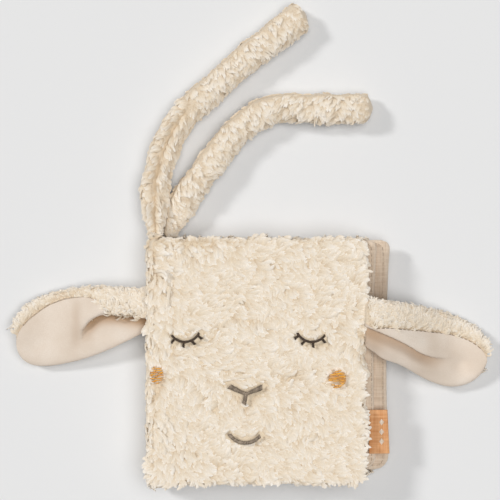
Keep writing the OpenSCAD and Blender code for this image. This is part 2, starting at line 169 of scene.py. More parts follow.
# A mesh object from a shape in millimetres: points, a list of face arrays, and
# a value for each point, which becomes an attribute. "lit" is the direction a
# point is shaded by, used on the faces that look that way.
def newPiece(name, shape, material, body=None, nodes=()):
    points, faceSets, values = (*shape, {})[:3]
    mesh = bpy.data.meshes.new(name)
    mesh.vertices.add(len(points))
    mesh.vertices.foreach_set("co", (np.asarray(points) * mm).astype(np.float32).ravel())
    corners = np.concatenate([f.ravel() for f in faceSets])
    sizes = np.concatenate([np.full(len(f), f.shape[1]) for f in faceSets])
    mesh.loops.add(len(corners))
    mesh.loops.foreach_set("vertex_index", corners.astype(np.int32))
    mesh.polygons.add(len(sizes))
    mesh.polygons.foreach_set("loop_start", (np.cumsum(sizes) - sizes).astype(np.int32))
    mesh.polygons.foreach_set("use_smooth", np.full(len(sizes), True))
    for key, value in values.items():
        if key != "lit":
            layer = mesh.attributes.new(key, "FLOAT", "POINT")
            layer.data.foreach_set("value", np.asarray(value, dtype=np.float32))
    mesh.update(calc_edges=True)
    if "lit" in values:
        faceWay = np.empty(len(sizes) * 3, dtype=np.float32)
        mesh.polygon_normals.foreach_get("vector", faceWay)
        lit = values["lit"][corners]
        lit[np.sum(lit * np.repeat(faceWay.reshape(-1, 3), sizes, axis=0), 1) < 0.1] = 0
        mesh.normals_split_custom_set(lit.astype(np.float32))
    mesh.materials.append(material)
    piece = bpy.data.objects.new(name, mesh)
    bpy.context.scene.collection.objects.link(piece)
    if body:
        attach(piece, body)
    if nodes:
        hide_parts(*nodes)
    return piece


# Joins shapes, each (points, face arrays, values), into one. A part that
# lacks one of the values gets zeros for it.
def joined(parts):
    points, faces, start = [], {3: [], 4: []}, 0
    for p, sets, _ in parts:
        points.append(p)
        for f in sets:
            faces[f.shape[1]].append(f + start)
        start += len(p)
    sets = [np.concatenate(f) for f in faces.values() if f]
    shapes = {key: value.shape[1:] for _, _, v in parts for key, value in v.items()}
    values = {key: np.concatenate([v.get(key, np.zeros((len(p), *shape))) for p, _, v in parts])
              for key, shape in shapes.items()}
    return np.concatenate(points), sets, values


# Camera and light

photo = {"middle": (-8.8, 66.65), "distance": 1000, "width": 307.5, "sensor": 36}
camera = bpy.data.objects.new("camera", bpy.data.cameras.new("camera"))
bpy.context.scene.collection.objects.link(camera)
camera.location = (photo["middle"][0] * mm, photo["middle"][1] * mm, photo["distance"] * mm)
camera.data.sensor_width = photo["sensor"]
camera.data.lens = photo["sensor"] * photo["distance"] / photo["width"]
camera.data.clip_start = 0.05
bpy.context.scene.camera = camera

light = {
    "key": {"way": (-0.894, 0.447), "rise": 38, "strength": 1.27, "angle": 10},
    "top": {"way": (0.9, -0.1), "rise": 80, "strength": 2.1, "angle": 50},
    "sky": 0.1,
}


# A sun that stands in a compass way at a rise in degrees, as wide as its angle
def addSun(name, spec):
    sun = bpy.data.objects.new(name, bpy.data.lights.new(name, "SUN"))
    bpy.context.scene.collection.objects.link(sun)
    towards = Vector((*Vector(spec["way"]).normalized(), math.tan(math.radians(spec["rise"]))))
    sun.rotation_euler = towards.to_track_quat("Z", "Y").to_euler()
    sun.data.energy = spec["strength"]
    sun.data.angle = math.radians(spec["angle"])


addSun("key", light["key"])
addSun("top", light["top"])
world = bpy.data.worlds.new("studio")
world.use_nodes = True
world.node_tree.nodes["Background"].inputs["Color"].default_value = (1.0, 0.995, 0.985, 1)
world.node_tree.nodes["Background"].inputs["Strength"].default_value = light["sky"]
bpy.context.scene.world = world
bpy.context.scene.view_settings.view_transform = "Standard"


# Materials

# A node with its settings; an input may be a value or another node's output
def addNode(tree, kind, inputs=None, **settings):
    node = tree.nodes.new(kind)
    for key, value in settings.items():
        setattr(node, key, value)
    for key, value in (inputs or {}).items():
        if isinstance(value, bpy.types.NodeSocket):
            tree.links.new(value, node.inputs[key])
        else:
            node.inputs[key].default_value = value
    return node


# A Principled material; the constants go on the shader's own sockets
def newMaterial(name, roughness=0.85, sheen=0.0, sheenRough=0.5, tint=(1, 1, 1), specular=0.3):
    material = bpy.data.materials.new(name)
    material.use_nodes = True
    shader = material.node_tree.nodes["Principled BSDF"]
    shader.inputs["Roughness"].default_value = roughness
    shader.inputs["Specular IOR Level"].default_value = specular
    shader.inputs["Sheen Weight"].default_value = sheen
    shader.inputs["Sheen Roughness"].default_value = sheenRough
    shader.inputs["Sheen Tint"].default_value = (*tint, 1)
    return material, material.node_tree, shader


# The place in object coordinates, stretched by a scale
def objectPoint(tree, scale=(1, 1, 1)):
    place = addNode(tree, "ShaderNodeTexCoord").outputs["Object"]
    return addNode(tree, "ShaderNodeMapping", {"Vector": place, "Scale": scale}).outputs[0]


# Noise at a place; the scale is in waves to the metre
def noise(tree, where, scale, detail=2.0):
    return addNode(tree, "ShaderNodeTexNoise",
                   {"Vector": where, "Scale": scale, "Detail": detail, "Roughness": 0.5}).outputs["Fac"]


# What a point's own value says
def attribute(tree, name):
    return addNode(tree, "ShaderNodeAttribute", attribute_name=name).outputs["Fac"]


# A colour times a number
def scaledColour(tree, colour, factor):
    return addNode(tree, "ShaderNodeVectorMath", {0: colour, "Scale": factor}, operation="SCALE").outputs[0]


# One sum of two values, or of a value and a number
def math2(tree, kind, a, b, clamp=False):
    return addNode(tree, "ShaderNodeMath", {0: a, 1: b}, operation=kind, use_clamp=clamp).outputs[0]


# A value carried straight from one range to another
def mapped(tree, value, low, high, toLow, toHigh):
    return addNode(tree, "ShaderNodeMapRange", {"Value": value, "From Min": low, "From Max": high,
                                                "To Min": toLow, "To Max": toHigh}).outputs[0]


# Colour a at factor 0, b at factor 1
def colourMix(tree, factor, a, b):
    node = addNode(tree, "ShaderNodeMix", data_type="RGBA")
    for index, value in ((0, factor), (6, a), (7, b)):
        if isinstance(value, bpy.types.NodeSocket):
            tree.links.new(value, node.inputs[index])
        else:
            node.inputs[index].default_value = value if index == 0 else (*value, 1)
    return node.outputs[2]


# A value to a colour, by stops of (place, colour)
def ramp(tree, value, stops):
    node = addNode(tree, "ShaderNodeValToRGB", {"Fac": value})
    marks = node.color_ramp.elements
    while len(marks) < len(stops):
        marks.new(0.5)
    for mark, (place, colour) in zip(marks, stops):
        mark.position = place
        mark.color = (*colour, 1)
    return node.outputs["Color"]


# Small relief, its distance in millimetres
def bump(tree, shader, height, strength, distance):
    node = addNode(tree, "ShaderNodeBump", {"Height": height, "Strength": strength,
                                            "Distance": distance * mm})
    tree.links.new(node.outputs[0], shader.inputs["Normal"])


# Pile: dull tan at the roots, a painted shade down in the pile, to cream at the tips,
# each lock a little warmer or paler than its neighbours, with fine hairs in the colour and the bump.
def furMaterial(name, root, middle, tip):
    material, tree, shader = newMaterial(name, 0.82, 0.35, 0.55, (1, 0.97, 0.92), 0.15)
    # painted shade: the ramp darkens towards the roots, where shade falls among the locks
    colour = ramp(tree, attribute(tree, "tip"), [(0, root), (0.45, middle), (0.9, tip)])
    warmth = mapped(tree, attribute(tree, "tone"), 0, 1, 0, 0.45)
    warm = colourMix(tree, warmth, colour, linear(229, 211, 184))
    fine = noise(tree, objectPoint(tree), 1500)
    colour = scaledColour(tree, warm, mapped(tree, fine, 0.3, 0.7, 0.93, 1.04))
    tree.links.new(colour, shader.inputs["Base Color"])
    bump(tree, shader, fine, 0.35, 0.3)
    return material


# Velour: a short nap that is paler where it is brushed up, with tiny grain, and
# painted shade, tan, down in the fold, along a crease and near the root
def velourMaterial(name):
    material, tree, shader = newMaterial(name, 0.9, 0.55, 0.4, (1, 0.95, 0.9), 0.15)
    where = objectPoint(tree)
    soft = noise(tree, where, 55, 3.0)  # the nap, brushed to and fro
    grain = noise(tree, where, 2200)
    colour = ramp(tree, soft, [(0.3, linear(224, 208, 191)), (0.55, linear(232, 218, 203)),
                               (0.8, linear(239, 228, 215))])
    # painted shade: tan where the fold, a crease or the root would be shaded
    colour = colourMix(tree, attribute(tree, "pleat"), colour, linear(168, 134, 100))
    colour = colourMix(tree, mapped(tree, grain, 0.35, 0.7, 0, 0.3), colour, linear(203, 184, 164))
    tree.links.new(colour, shader.inputs["Base Color"])
    bump(tree, shader, math2(tree, "ADD", math2(tree, "MULTIPLY", soft, 3.0), grain), 0.3, 0.18)
    return material


# Linen: threads across and along as two sets of bands, over each other by turns,
# with slubs, which are long thin patches of a darker or paler thread. It is
# paler along a turned rim, and darker with painted shade where another piece would shade it.
def linenMaterial(name, dark, pale, pitch=0.62):
    material, tree, shader = newMaterial(name, 0.88, 0.15, 0.5, (1, 0.95, 0.9), 0.2)
    where = objectPoint(tree)
    band = math.tau / (pitch * mm)
    split = addNode(tree, "ShaderNodeSeparateXYZ", {0: where})
    waves = []
    for axis in ("X", "Y"):
        wobble = noise(tree, where, 140)
        place = math2(tree, "ADD", math2(tree, "MULTIPLY", split.outputs[axis], band),
                      math2(tree, "MULTIPLY", wobble, 5.0))
        waves.append(math2(tree, "SINE", place, 0.0))
    weave = math2(tree, "MULTIPLY", waves[0], waves[1])
    lengthways = noise(tree, objectPoint(tree, (60, 900, 300)), 1.0)
    crossways = noise(tree, objectPoint(tree, (900, 60, 300)), 1.0)
    slub = math2(tree, "ADD", lengthways, crossways)
    colour = ramp(tree, mapped(tree, slub, 0.7, 1.3, 0, 1), [(0.1, dark), (0.9, pale)])
    colour = colourMix(tree, mapped(tree, weave, -1, 1, 0.32, 0), colour, dark)
    # the "shade" value paints shade: it darkens the linen towards a dark brown
    for mark, most, other in (("rim", 0.55, linear(244, 230, 212)), ("shade", 0.5, linear(112, 90, 72))):
        colour = colourMix(tree, mapped(tree, attribute(tree, mark), 0, 1, 0, most), colour, other)
    tree.links.new(colour, shader.inputs["Base Color"])
    height = math2(tree, "ADD", math2(tree, "MULTIPLY", weave, 0.5), slub)
    bump(tree, shader, height, 0.5, 0.25)
    return material


# Thread: a silky shine, darker between the plies, with painted light: paler on top of each stitch and darker
# at its ends, where it goes into the cloth
def threadMaterial(name, dark, pale):
    material, tree, shader = newMaterial(name, 0.5, 0.2, 0.3, (1, 0.95, 0.9), 0.45)
    plies = noise(tree, objectPoint(tree), 1800)
    factor = math2(tree, "ADD", math2(tree, "MULTIPLY", attribute(tree, "tone"), 0.55),
                   math2(tree, "MULTIPLY", plies, 0.45), True)
    colour = ramp(tree, factor, [(0.15, dark), (0.75, pale)])
    # painted light: paler at the top of a stitch's bow, darker at its ends
    colour = scaledColour(tree, colour, mapped(tree, attribute(tree, "tip"), 0, 1, 0.82, 1.04))
    tree.links.new(colour, shader.inputs["Base Color"])
    bump(tree, shader, plies, 0.3, 0.12)
    return material


fur = furMaterial("plush_fur", linear(200, 175, 143), linear(232, 218, 198), linear(248, 241, 231))
hide = furMaterial("plush_backing", linear(214, 194, 166), linear(230, 212, 186), linear(240, 226, 206))
velour = velourMaterial("ear_velour")
linen = linenMaterial("page_linen", linear(214, 190, 165), linear(236, 217, 196))
lining = linenMaterial("lining_linen", linear(188, 164, 140), linear(222, 204, 184))
ribbon = linenMaterial("label_ribbon", linear(213, 146, 94), linear(243, 188, 138), 0.42)
darkThread = threadMaterial("dark_thread", linear(50, 38, 28), linear(84, 66, 50))
greyThread = threadMaterial("grey_thread", linear(98, 84, 70), linear(168, 151, 132))
orangeThread = threadMaterial("orange_thread", linear(220, 140, 24), linear(250, 186, 70))
sewingThread = threadMaterial("sewing_thread", linear(176, 154, 130), linear(208, 190, 168))
seamThread = threadMaterial("seam_thread", linear(120, 98, 76), linear(158, 134, 108))
creamThread = threadMaterial("cream_thread", linear(238, 226, 204), linear(252, 244, 230))
print("materials made")


# Pile

pileCount = {"locks": 0, "triangles": 0}
# how much locks differ from each other, and the strands within one lock
pileVary = {"size": (0.78, 1.2), "curl": (0.5, 1.0), "lift": (0.6, 1.35), "groupSwing": 0.75,
            "lockSwing": 0.6, "strandLength": (0.85, 1.12), "strandCurl": (0.8, 1.2),
            "strandLift": (0.85, 1.15), "strandWidth": (0.8, 1.2), "strandPhase": 0.25, "strandSwing": 0.07}


# Locks of pile. A lock is a few strands that leave the cloth together, curl one
# way and close up at the tip. A strand is a flattened three-sided tube along
#   place(t) = root + sum of steps, where a step leans out of the cloth by
#   lift * (1 - droop * t) and swings sideways by curl * sin(turns * t + phase).
# Its width swells to the middle and runs out to a point.
# Locks with the same number in groups curl and swing alike.
def pile(roots, normals, flow, look, seed, floor=None, scale=None, groups=None):
    rng, vary = np.random.default_rng(seed), pileVary
    count, strands, rings = len(roots), look["strands"], look["rings"]
    pileCount["locks"] += count
    size = rng.uniform(*vary["size"], count) * (1 if scale is None else scale)
    groups = np.arange(count) if groups is None else groups
    sets = groups.max() + 1
    phase = rng.uniform(0, math.tau, sets)[groups]
    curl = rng.uniform(*vary["curl"], sets) * math.radians(look["curl"]) * rng.choice([-1, 1], sets)
    curl, stray = curl[groups], math.radians(look["stray"])
    swing = rng.normal(0, stray, sets)[groups] * vary["groupSwing"]
    swing += rng.normal(0, stray, count) * vary["lockSwing"]
    lift = np.radians(look["lift"]) * rng.uniform(*vary["lift"], count)
    tone = rng.uniform(0, 1, count)

    pick = np.repeat(np.arange(count), strands)
    n = len(pick)
    normals, flow = unit(normals)[pick], unit(flow)[pick]
    side = np.cross(normals, flow)
    spread = look["spread"]
    across = (np.tile(np.arange(strands), count) - (strands - 1) / 2) * spread
    across += rng.normal(0, spread * 0.3, n)
    back = rng.uniform(-1, 1, n) * spread * 0.8
    length = look["length"] * size[pick] * rng.uniform(*vary["strandLength"], n)
    phase = phase[pick] + rng.normal(0, vary["strandPhase"], n)
    curl = curl[pick] * rng.uniform(*vary["strandCurl"], n)
    swing = swing[pick] + rng.normal(0, vary["strandSwing"], n)
    lift = lift[pick] * rng.uniform(*vary["strandLift"], n)

    steps = 1 - (1 - np.linspace(0, 1, rings + 1)) ** 1.35
    middles = (steps[:-1] + steps[1:]) / 2
    lean = lift[:, None] * (1 - look["droop"] * middles)
    turn = swing[:, None] + curl[:, None] * np.sin(look["turns"] * math.tau * middles + phase[:, None])
    step = (np.cos(lean) * np.cos(turn))[..., None] * flow[:, None] \
        + (np.cos(lean) * np.sin(turn))[..., None] * side[:, None] \
        + np.sin(lean)[..., None] * normals[:, None]
    step *= (length[:, None] * np.diff(steps))[..., None]
    line = np.concatenate([np.zeros((n, 1, 3)), np.cumsum(step, 1)], 1)
    close = 1 - look["pinch"] * steps
    start = roots[pick] - normals * look["sink"] + flow * back[:, None]
    line = line + start[:, None] + (across[:, None] * close)[..., None] * side[:, None]
    if floor is not None:
        line[..., 2] = np.maximum(line[..., 2], floor)

    ahead = unit(np.gradient(line, axis=1))
    sideways = unit(np.cross(normals[:, None], ahead))
    outward = np.cross(ahead, sideways)
    width = look["width"] * rng.uniform(*vary["strandWidth"], n)[:, None]
    swell = 0.6 + 0.5 * np.sin(math.pi * np.clip(steps * 0.8 + 0.1, 0, 1)) - 0.15 * steps ** 2
    half = (width * swell / 2)[:, :rings, None]
    turns = np.radians([90, 210, 330])
    beside, above = sideways[:, :rings, None], outward[:, :rings, None]
    ring = line[:, :rings, None] + (half * np.cos(turns))[..., None] * beside \
        + (half * look["plump"] * np.sin(turns))[..., None] * above
    points = np.concatenate([ring.reshape(n, rings * 3, 3), line[:, rings:]], 1)
    if floor is not None:
        points[..., 2] = np.maximum(points[..., 2], floor - 0.1)

    each = rings * 3 + 1
    tube = gridFaces(rings, 3, True)
    last = (rings - 1) * 3
    cap = np.array([[last, last + 1, last + 3], [last + 1, last + 2, last + 3],
                    [last + 2, last, last + 3], [2, 1, 0]])
    first = (np.arange(n) * each)[:, None, None]
    quads = (tube[None] + first).reshape(-1, 4)
    tris = (cap[None] + first).reshape(-1, 3)
    pileCount["triangles"] += len(quads) * 2 + len(tris)
    tips = np.concatenate([np.repeat(steps[:rings], 3), [1.0]])
    lit = look["round"] * np.cos(turns)[:, None] * beside + (0.75 + 0.25 * np.sin(turns))[:, None] * above
    lit = np.concatenate([lit.reshape(n, rings * 3, 3), outward[:, rings:]], 1)
    upward = np.clip(2 * normals[:, 2] + 1.6, -1, 1)  # most strands are lit as the cloth's top is
    lit = unit(unit(lit) + look["calm"] * (upward[:, None] * np.array([0, 0, 1.0]))[:, None])
    values = {"tip": np.tile(tips, n), "tone": np.repeat(tone[pick], each), "lit": lit.reshape(-1, 3)}
    return points.reshape(-1, 3), [quads, tris], values


# Places about one spacing apart over a rectangle, each shifted a little
def scattered(lowX, highX, lowY, highY, spacing, seed):
    rng = np.random.default_rng(seed)
    x, y = np.meshgrid(np.arange(lowX + spacing / 2, highX, spacing),
                       np.arange(lowY + spacing / 2, highY, spacing * 0.87))
    x = x + (np.arange(len(x)) % 2)[:, None] * spacing / 2
    shift = rng.uniform(-0.42, 0.42, (2, *x.shape)) * spacing
    return np.stack([(x + shift[0]).ravel(), (y + shift[1]).ravel()], -1)


# The number of the nearest of some scattered middles, for each place
def groupsOf(places, spacing, seed):
    low, high = places.min(0), places.max(0)
    middles = scattered(low[0], high[0] + spacing, low[1], high[1] + spacing, spacing, seed)
    parts = np.array_split(places, max(1, len(places) // 1500))
    return np.concatenate([np.linalg.norm(p[:, None] - middles, axis=-1).argmin(1) for p in parts])


# The part of a set of strands whose points are wanted
def partOf(points, faceSets, values, want):
    index = np.cumsum(want) - 1
    return (points[want], [index[f[want[f[:, 0]]]] for f in faceSets],
            {key: value[want] for key, value in values.items()})


# A surface's point and its outward direction, from small steps along its two
# parameters; side is -1 where the parameters run the other way round.
def surfaceAt(shape, u, v, side=1):
    step = 1e-3
    here = shape(u, v)
    normal = np.cross(shape(u + step, v) - here, shape(u, v + step) - here)
    return here, unit(normal) * side


# A way laid flat on a surface
def acrossSurface(way, normals):
    way = np.broadcast_to(np.asarray(way, dtype=float), normals.shape)
    return unit(way - normals * np.sum(way * normals, -1, keepdims=True))


# Ties

tieLook = {"diameter": 17.0, "root": 7.6, "rootRun": 26, "skin": 0.88, "wide": 1.08, "high": 0.96,
           "rings": 150, "sides": 20, "endRun": 5, "endIn": 0.5, "crease": 0.35, "creaseWide": 0.17,
           "pileEnd": 3.5, "spacing": 2.75, "groups": 4.4}
tieHigh = tieLook["diameter"] / 2 + 0.1
upperRoute = [
    (-66, 0.8, 14), (-66.5, 17, 12.5), (-66, 33, 10), (-62, 49, tieHigh), (-56, 63, tieHigh),
    (-47, 76, tieHigh), (-35, 87, tieHigh), (-22, 99, tieHigh), (-9, 110, tieHigh),
    (5, 121, tieHigh), (19, 132, tieHigh), (25, 136, tieHigh),
]
lowerRoute = [
    (-59, 0.8, 5.4), (-50, 20, 8.2), (-40, 35, tieHigh), (-30, 48, tieHigh), (-19, 62, tieHigh),
    (-7, 72, tieHigh), (7, 78, tieHigh), (23, 78.5, tieHigh), (39, 78, tieHigh),
    (55, 78, tieHigh), (66, 78, tieHigh),
]


# A smooth line through the points: the Catmull-Rom spline, resampled evenly
def smoothLine(points, count):
    p = np.array(points, dtype=float)
    p = np.concatenate([p[:1], p, p[-1:]])
    t = np.linspace(0, 1, 12, endpoint=False)[:, None]
    legs = []
    for k in range(len(p) - 3):
        a, b, c, d = p[k:k + 4]
        legs.append(0.5 * (2 * b + (c - a) * t + (2 * a - 5 * b + 4 * c - d) * t ** 2
                           + (3 * b - a - 3 * c + d) * t ** 3))
    line = np.concatenate(legs + [p[-1:]])
    run = runOf(line)
    return lineAt(np.linspace(0, run[-1], count), run, line), run[-1]


# How deep in the crease along a tie's top, below its parting, a place is
def creased(u, v, parting):
    fromTop = np.mod(v, math.tau) - math.pi / 2
    return ease((parting - u) / 0.08) * np.exp(-(fromTop / tieLook["creaseWide"]) ** 2)


# A tie's surface: round its centre line by an angle, with a radius that grows
# out of the seam, closes at the end and wavers a little along the way.
def tieShape(line, length, seed, parting):
    ahead = unit(np.gradient(line, axis=0))
    sideways = unit(np.cross(ahead, [0, 0, 1.0]))
    upward = np.cross(sideways, ahead)
    places = np.linspace(0, 1, len(line))

    def shape(u, v):
        u = np.clip(u, 0, 1)
        run = u * length
        grown = mix(tieLook["root"], tieLook["diameter"], ease(run / tieLook["rootRun"] + 0.1)) / 2
        left = np.clip(1 - (length - run - tieLook["endIn"]) / tieLook["endRun"], 0, 1)
        waver = 1 + 0.035 * np.sin(run * 0.31 + seed) + 0.03 * np.sin(run * 0.17 + 2 * v + seed)
        waver -= tieLook["crease"] * creased(u, v, parting)
        radius = grown * tieLook["skin"] * np.sqrt(np.clip(1 - left ** 2, 0.01, 1)) * waver
        wide = radius * (tieLook["wide"] + 0.1 * ease((run - length + 45) / 35))
        return lineAt(u, places, line) + (wide * np.cos(v))[..., None] * lineAt(u, places, sideways) \
            + (radius * tieLook["high"] * np.sin(v))[..., None] * lineAt(u, places, upward)
    return shape, places, ahead


tiePile = {"strands": 4, "rings": 4, "length": 7.1, "curl": 38, "turns": 0.8, "stray": 16, "lift": 22,
           "droop": 2.9, "spread": 0.72, "pinch": 0.55, "sink": 0.3, "width": 1.35, "plump": 0.45,
           "round": 0.45, "calm": 0.9}


# A tie: its skin as a tube of rings, and locks at scattered places round it
def makeTie(name, node, route, seed, parting):
    route = [(x, y + halfHeight, z) for x, y, z in route]
    rings, sides = tieLook["rings"], tieLook["sides"]
    line, length = smoothLine(route, rings)
    shape, places, ahead = tieShape(line, length, seed, parting)
    turns = np.linspace(0, math.tau, sides, endpoint=False)
    u, v = np.meshgrid(np.linspace(0, 1, rings), turns, indexing="ij")
    skin = shape(u, v).reshape(-1, 3)
    cloth = plainCloth(len(skin) + 2)
    # painted shade: the skin is darker, nearer the root colour, down in the crease
    cloth["tip"][:-2] -= 0.3 * creased(u, v, parting).ravel()
    ends = np.stack([skin[:sides].mean(0), skin[-sides:].mean(0)])
    tube = (np.concatenate([skin, ends]), tubeFaces(rings, sides), cloth)

    girth = math.pi * tieLook["diameter"] * tieLook["skin"]
    spots = scattered(0, length - tieLook["pileEnd"], 0, girth, tieLook["spacing"], seed)
    lu, lv = spots[:, 0] / length, spots[:, 1] / girth * math.tau
    roots, normals = surfaceAt(shape, lu, lv)
    along = lineAt(lu, places, ahead)
    # combed across the tie to the right, down over its left edge, to both sides
    # of the crease below the parting, and outward over the end
    wave = 0.4 * np.sin(lu * 23 + seed) + 0.3 * np.sin(lu * 61 + lv + seed)
    left = np.cos(lv) < np.where(lu < parting, 0, np.where(np.sin(lv) > 0, -0.93, 0))
    turned = np.cross(along, normals) * np.where(left, -1, 1)[:, None]
    over = ease((lu * length - length + 15) / 10)[:, None]
    split = ((lu < parting) & (np.sin(lv) > 0.5))[:, None]
    forward = 0.9 * over - 0.4 - 0.6 * split - wave[:, None] * np.where(split, 0.5, 1)
    flow = acrossSurface(turned * (1 - 0.6 * over - 0.25 * split) + forward * along, normals)
    grown = mix(0.7, 1.0, ease(lu * length / 22)) * (1 - 0.4 * over[:, 0])
    locks = pile(roots, normals, flow, tiePile, seed + 1, floor=0.25, scale=grown,
                 groups=groupsOf(spots, tieLook["groups"], seed + 2))
    piece = newPiece(name, joined([tube, locks]), fur, "back_cover", [node])
    print(name, "length", round(length, 1), "locks", len(lu))


makeTie("plush_tie_upper", "tie_upper", upperRoute, 11, 0.5)
makeTie("plush_tie_lower", "tie_lower", lowerRoute, 23, 0)


# Covers

cover = {"pile": 3.0, "roll": 3.6, "corner": 7.0, "foldRoll": 10.0, "foldPile": 4.0, "lump": 0.5,
         "pulledIn": 1.8, "wrap": 2.75, "spacing": 2.1, "groups": 5.2, "edge": 4.5, "shortBy": 4.5,
         "shortest": 0.55, "splitAt": -4}
coverFace = {"left": foldX - 1.3, "right": frontHigh[0] - 5.6, "top": halfHeight - 2.4,
             "seam": frontLow[2] + 0.4}
faceTop = faceZ - cover["pile"]
facePile = {"strands": 2, "rings": 5, "length": 10.0, "curl": 58, "turns": 0.85, "stray": 18, "lift": 20,
            "droop": 1.7, "spread": 1.15, "pinch": 0.55, "sink": 0.3, "width": 2.4, "plump": 0.42,
            "round": 0.7, "calm": 0.5}


# The wrap of a cloth sheet over a padded edge. A place in the sheet that lies
# past the core outline by s goes round an arc of radius roll by s / roll; the
# core is a rounded rectangle, drawn in from the outline by the roll.
def wrapped(q, low, high, corner, roll, top, side=1):
    inner = np.clip(q, np.array(low) + roll + corner, np.array(high) - roll - corner)
    way = q - inner
    far = np.linalg.norm(way, axis=-1)
    out = way / np.maximum(far, 1e-9)[..., None]
    past = np.maximum(far - corner, 0)
    turn = np.minimum(past / roll, cover["wrap"])
    flatPart = np.minimum(far, corner) + roll * np.sin(turn)
    place = inner + out * flatPart[..., None]
    z = top - side * roll * (1 - np.cos(turn))
    normal = np.concatenate([out * np.sin(turn)[..., None], (side * np.cos(turn))[..., None]], -1)
    return np.concatenate([place, z[..., None]], -1), normal, past


# How far the cloth falls towards the fold: a quarter of a circle
def foldDrop(x):
    start = foldX + cover["foldRoll"] - cover["foldPile"]
    inside = np.clip(start - x, 0, cover["foldRoll"] * 0.999)
    drop = cover["foldRoll"] - np.sqrt(cover["foldRoll"] ** 2 - inside ** 2)
    slope = inside / np.sqrt(cover["foldRoll"] ** 2 - inside ** 2)
    return drop, slope


# Slow swells of the padding: three crossing sines
def faceLump(x, y):
    return cover["lump"] * (0.5 * np.sin(0.47 * x + 0.16 * y + np.sin(0.12 * y))
                            + 0.35 * np.sin(0.54 * y - 0.24 * x + 0.7 * np.sin(0.14 * x))
                            + 0.15 * np.sin(0.77 * x + 0.68 * y))


# The direction that the pile is combed in: down along the fold, outward along
# the other edges, and elsewhere to the right and down with slow swirls.
def faceFlow(x, y):
    swirl = 34 * np.sin(0.051 * x + 0.083 * y + 1.3) + 30 * np.sin(0.093 * x - 0.062 * y + 0.4) \
        + 22 * np.sin(0.021 * x + 0.138 * y + 2.1) + 16 * np.sin(0.17 * x + 0.11 * y)
    base = mix(-78, -22, ease((x - foldX - 2) / 30)) - 34 * ease((foldX + 4 - x) / 4)
    base = mix(base, 8, ease((y - 20) / 60) * 0.5)
    angle = np.radians(base + swirl * mix(0.45, 1.0, ease((x - foldX) / 26)))
    way = np.stack([np.cos(angle), np.sin(angle)], -1)
    edge = cover["edge"]
    right = ease((x - (coverFace["right"] - edge)) / edge)
    top = ease((y - (coverFace["top"] - edge)) / edge)
    low = ease((-coverFace["top"] + edge - y) / edge)
    pull = np.stack([0.5 * right, top - low], -1)
    return way * (1 - 0.5 * np.clip(np.linalg.norm(pull, axis=-1, keepdims=True), 0, 1)) + 0.6 * pull


# The front plush: the wrapped sheet with its swells, falling away at the fold
# and pulled in a little at the lower right
def frontSheet(q):
    low = (coverFace["left"] - 30, -coverFace["top"])
    high = (coverFace["right"], coverFace["top"])
    place, normal, past = wrapped(q, low, high, cover["corner"] - cover["roll"], cover["roll"], faceTop)
    drop, slope = foldDrop(place[..., 0])
    lump = faceLump(place[..., 0], place[..., 1]) * np.clip(1 - past / 3, 0, 1)
    place[..., 2] += lump - drop * np.clip((place[..., 2] - 18) / (faceTop - 18), 0, 1)
    place[..., 0] -= cover["pulledIn"] * ease((15 - place[..., 1]) / 50) * ease((place[..., 0] - 40) / 20)
    normal = unit(normal + np.stack([-slope, 0 * slope, 0 * slope], -1) * (normal[..., 2:] > 0))
    return place, normal


# Whether points lie on the front's side of the mitre at the fold
def inFront(points):
    return points[:, 0] - foldX + points[:, 2] - foldZ > -0.4


# A sheet from plan places, closed down to a ring drawn in to shrink at a height
def closedSheet(place, rows, columns, shrink, height):
    under = place[outlineOf(rows, columns)] * [*shrink, 1]
    under[:, 2] = height
    points = np.concatenate([place, under, [[0, 0, height]]])
    return points, bowlFaces(rows, columns), plainCloth(len(points))


# The backing that the front pile grows from: a fine grid of the wrapped sheet
reach = cover["roll"] * 2.5
qx, qy = np.meshgrid(np.linspace(coverFace["left"], coverFace["right"] + reach, 74),
                     np.linspace(-coverFace["top"] - reach, coverFace["top"] + reach, 84))
place = frontSheet(np.stack([qx, qy], -1).reshape(-1, 2))[0]
place[:, 0] = np.maximum(place[:, 0], foldX + 0.4)
backing = closedSheet(place, *qx.shape, (0.985, 0.985), coverFace["seam"])
under = backing[0][len(place):-1]
under[:, 0] = np.maximum(under[:, 0], foldX + 0.5)
frontBacking = newPiece("front_backing", backing, hide, "front_cover")


# Embroidery: where the threads run, in the cover's own millimetres

face = {"x": foldX + 58.2, "eyeSpace": 75.8, "eyeRadius": 9.6, "lid": (216, 333), "lash": 3.2,
        "lashes": ((232, 0), (266, 2), (294, 20), (323, 0)), "thread": 1.45,
        "mouthRadius": 11.1, "mouth": (211, 322), "mouthThread": 2.2}
eyeY = 2 * halfHeight * 0.143
noseAt = np.array([face["x"] - 1.4, -2 * halfHeight * 0.127])
mouthAt = np.array([face["x"] - 1.8, -2 * halfHeight * 0.249])


# Points round a part of a circle, by angles in degrees
def arcLine(middle, radius, start, finish, count=24):
    turn = np.radians(np.linspace(start, finish, count))
    return np.array(middle) + radius * np.stack([np.cos(turn), np.sin(turn)], -1)


# A closed eye: an arc of lid and four lashes outward from it
def eyeLines(side):
    middle = np.array([face["x"] - side * face["eyeSpace"] / 2, eyeY])
    r = face["eyeRadius"]
    lines = [(arcLine(middle, r, *face["lid"]), face["thread"], face["thread"])]
    for turn, lean in face["lashes"]:
        a, b = np.radians(turn), np.radians(turn + lean)
        root = middle + r * np.array([math.cos(a), math.sin(a)])
        tip = root + face["lash"] * np.array([math.cos(b), math.sin(b)])
        lines.append((np.linspace(root, tip, 6), face["thread"] * 1.05, face["thread"] * 1.15))
    if side < 0:  # the right eye is the left one turned over
        lines = [(l * [-1, 1] + [2 * middle[0], 0], a, b) for l, a, b in lines]
    return lines


